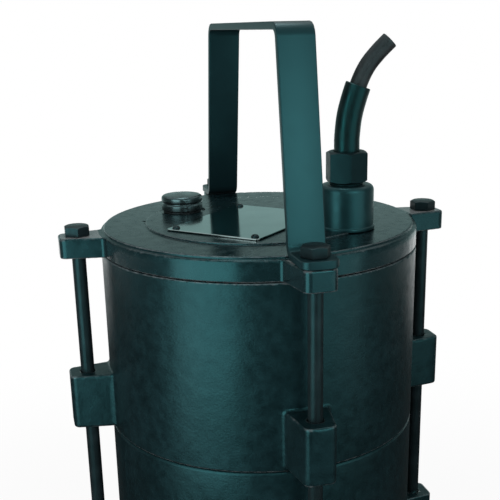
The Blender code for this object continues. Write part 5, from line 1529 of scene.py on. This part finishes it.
# Tie bolts. Four long blackened bolts with hexagon heads on the lid's ears, two of them on the
# handle's feet. They run down outside the drum to nuts under the casing's ears.
head_height = 0.007
rod_radius = 0.005
rod_pitch, rod_thread = 0.0015, 0.030
rod_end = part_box("tie_bolt_left")[0].z
nut_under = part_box("tie_nut_left")[0].z
nut_height = 0.008
nut_bore = 0.0053
lid_seat = ear_top + seat_gap
handle_seat = lid_seat + strap_thick + seat_gap
bolt_tone = (0.005, 0.0075, 0.0085)
bolt_black = black_steel("bolt_black", bolt_tone)
for first, seat, names in (
    (0.0, lid_seat, ("right", "left")),
    (math.pi / 2, handle_seat, ("front", "rear")),
):
    rod = hex_bolt("rod", large_flats, head_height, rod_radius, seat - rod_end, rod_pitch, rod_thread)
    ring = {"Count": 2, "Circle": bolt_circle, "First": first}
    pair = bolt_ring(f"{names[0]}_rods", rod, bolt_black, (0, 0, seat), **ring)
    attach(pair, "pump_body")
    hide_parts(*[f"tie_bolt_{name}" for name in names])

rows, ways = hex_rows(large_flats, 0, nut_height, True)
rows.append(round_row(ways, nut_bore + nut_bevel, 0))
rows.append(round_row(ways, nut_bore, nut_bevel))
rows.append(round_row(ways, nut_bore, nut_height - nut_bevel))
rows.append(round_row(ways, nut_bore + nut_bevel, nut_height))
nut = skin("nut", rows, 40, closed=True)
nuts = bolt_ring("rod_nuts", nut, bolt_black, (0, 0, nut_under), Count=4, Circle=bolt_circle, First=0.0)
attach(nuts, "pump_body")
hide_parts(*[f"tie_nut_{name}" for name in ("right", "rear", "left", "front")])

# Floor. A plain pale floor that the pump stands on, bright enough to read as white further off,
# and lit by the lamps round the pump, so that it keeps the pump's shadow.
floor_half = 6.0
floor_tone = (0.85, 0.85, 0.85, 1)
shadow_reach, white_from = 0.22, 0.8


def eye_rays(tree):
    """One for the rays of the camera, of gloss and of glass, and nothing for the rest."""
    path = node(tree, "ShaderNodeLightPath").outputs
    seen = maths(tree, "MAXIMUM", path["Is Camera Ray"], path["Is Glossy Ray"])
    return maths(tree, "MAXIMUM", seen, path["Is Transmission Ray"])


floor_mesh = bmesh.new()
bmesh.ops.create_grid(floor_mesh, x_segments=1, y_segments=1, size=floor_half)
floor = piece("floor", floor_mesh)
floor_paint, tree, shader = finish("pale_floor", 0.9, Base_Color=floor_tone, Specular_IOR_Level=0.1)
glow = node(tree, "ShaderNodeEmission", {"Color": (1, 1, 1, 1), "Strength": 1.0})
blend = node(tree, "ShaderNodeMixShader", {1: shader.outputs["BSDF"], 2: glow.outputs["Emission"]})
place = own_place(tree)
far = node(tree, "ShaderNodeVectorMath", {0: place}, operation="LENGTH").outputs["Value"]
white = spread(tree, far, 0.88, 1.0, shadow_reach, white_from, smooth=True)
tree.links.new(maths(tree, "MULTIPLY", eye_rays(tree), white), blend.inputs["Fac"])
tree.links.new(blend.outputs["Shader"], tree.nodes["Material Output"].inputs["Surface"])
floor.data.materials.append(floor_paint)

# Cards. A dark round mat and a wall glowing teal grey round the pump, which only its gloss sees:
# painted reflections. They keep the white floor and surround out of the dark paint, as flags do
# in a studio, and the wall glows brightest behind the pump, where the lid and the plate mirror it.
mat_radius = 1.4
mat_tone = (0.03, 0.03, 0.03, 1)
wall_radius = 1.7
wall_height = 1.6
wall_turn = math.radians(14)
wall_light = (0.66, 1, 0.97, 1)
mat_mesh = bmesh.new()
bmesh.ops.create_circle(mat_mesh, cap_ends=True, radius=mat_radius, segments=64)
bmesh.ops.translate(mat_mesh, vec=(0, 0, 0.0005), verts=mat_mesh.verts)
mat = piece("dark_mat", mat_mesh)
mat_black, tree, shader = finish("mat_black", 0.95, Base_Color=mat_tone, Specular_IOR_Level=0.1)
mat.data.materials.append(mat_black)
wall_mesh = bmesh.new()
bmesh.ops.create_cone(wall_mesh, radius1=wall_radius, radius2=wall_radius, depth=wall_height, segments=96)
bmesh.ops.translate(wall_mesh, vec=(0, 0, wall_height / 2), verts=wall_mesh.verts)
wall = piece("grey_wall", wall_mesh)
# The wall glows a teal grey, more strongly low down and behind the pump, as a painted reflection.
wall_glow, tree, shader = finish("wall_glow", 1.0, Base_Color=(0, 0, 0, 1), Emission_Color=wall_light)
place = own_place(tree)
height = node(tree, "ShaderNodeSeparateXYZ", {"Vector": place}).outputs["Z"]
upward = spread(tree, height, 0.52, 0.26, start=0.6, end=1.1)
sockets = {0: place, 1: (math.sin(wall_turn), math.cos(wall_turn), 0)}
behind = node(tree, "ShaderNodeVectorMath", sockets, operation="DOT_PRODUCT").outputs["Value"]
around = spread(tree, behind, 0.45, 1.0, 0.2 * wall_radius, 0.85 * wall_radius, smooth=True)
tree.links.new(maths(tree, "MULTIPLY", upward, around), shader.inputs["Emission Strength"])
wall.data.materials.append(wall_glow)
for card in (mat, wall):
    card.visible_camera = False
    card.visible_diffuse = False
    card.visible_transmission = False
    card.visible_shadow = False

# Light. A white surround, soft boxes to the left, to the right, in front and above, which lay
# upright bands on the round pieces, and three low boxes behind for the far side.
shade_level = 0.25
world = bpy.data.worlds.new("studio")
scene.world = world
world.use_nodes = True
tree = world.node_tree
surround = tree.nodes["Background"]
surround.inputs["Color"].default_value = (1, 1, 1, 1)
strength = spread(tree, eye_rays(tree), shade_level, 1.0, start=0.0, end=1.0)
tree.links.new(strength, surround.inputs["Strength"])
for name, place, aim, size, power in (
    ("left_box", (-0.49, -0.41, 0.42), (0, 0, 0.42), (0.49, 0.80), 5.9),
    ("right_box", (0.436, -0.671, 0.45), (0, 0, 0.45), (0.66, 0.85), 2.9),
    ("front_box", (0.24, -1.1, 0.80), (0, 0, 0.45), (0.5, 0.3), 4.5),
    ("top_box", (0.05, 0.2, 1.5), (0, 0, 0.38), (0.5, 0.45), 5.0),
    ("rear_box", (0.211, 0.823, 0.19), (0, 0, 0.19), (0.26, 0.36), 1.3),
    ("rear_right_box", (0.68, 0.585, 0.20), (0, 0, 0.20), (0.5, 0.36), 0.3),
    ("rear_left_box", (-0.32, 0.84, 0.20), (0, 0, 0.20), (0.5, 0.36), 0.2),
):
    lamp = bpy.data.lights.new(name, "AREA")
    lamp.shape = "RECTANGLE"
    lamp.size, lamp.size_y = size
    lamp.energy = power
    box = bpy.data.objects.new(name, lamp)
    box.location = place
    box.rotation_euler = (Vector(aim) - Vector(place)).to_track_quat("-Z", "Y").to_euler()
    box.visible_camera = False
    scene.collection.objects.link(box)

# Camera. It stands in front of the pump, a little to the left of it and above the lid, and looks
# down at it. Its shift sets the pump in the frame as the photograph has it.
camera_data = bpy.data.cameras.new("camera")
camera_data.lens = 64.2
camera_data.sensor_width = 36.0
camera_data.shift_y = 0.10
camera_data.clip_start = 0.01
camera = bpy.data.objects.new("camera", camera_data)
stand_point = (-0.1716, -0.6395, 0.5192)
pitch, yaw, roll = math.radians(17.09), math.radians(14.39), math.radians(-1.25)
ahead = Vector((math.sin(yaw) * math.cos(pitch), math.cos(yaw) * math.cos(pitch), -math.sin(pitch)))
level_right = Vector((math.cos(yaw), -math.sin(yaw), 0))
level_up = level_right.cross(ahead)
right = level_right * math.cos(roll) + level_up * math.sin(roll)
upward = level_up * math.cos(roll) - level_right * math.sin(roll)
stand = Matrix((right, upward, -ahead)).transposed().to_4x4()
camera.matrix_world = Matrix.Translation(stand_point) @ stand
scene.collection.objects.link(camera)
scene.camera = camera
scene.view_settings.view_transform = "Standard"
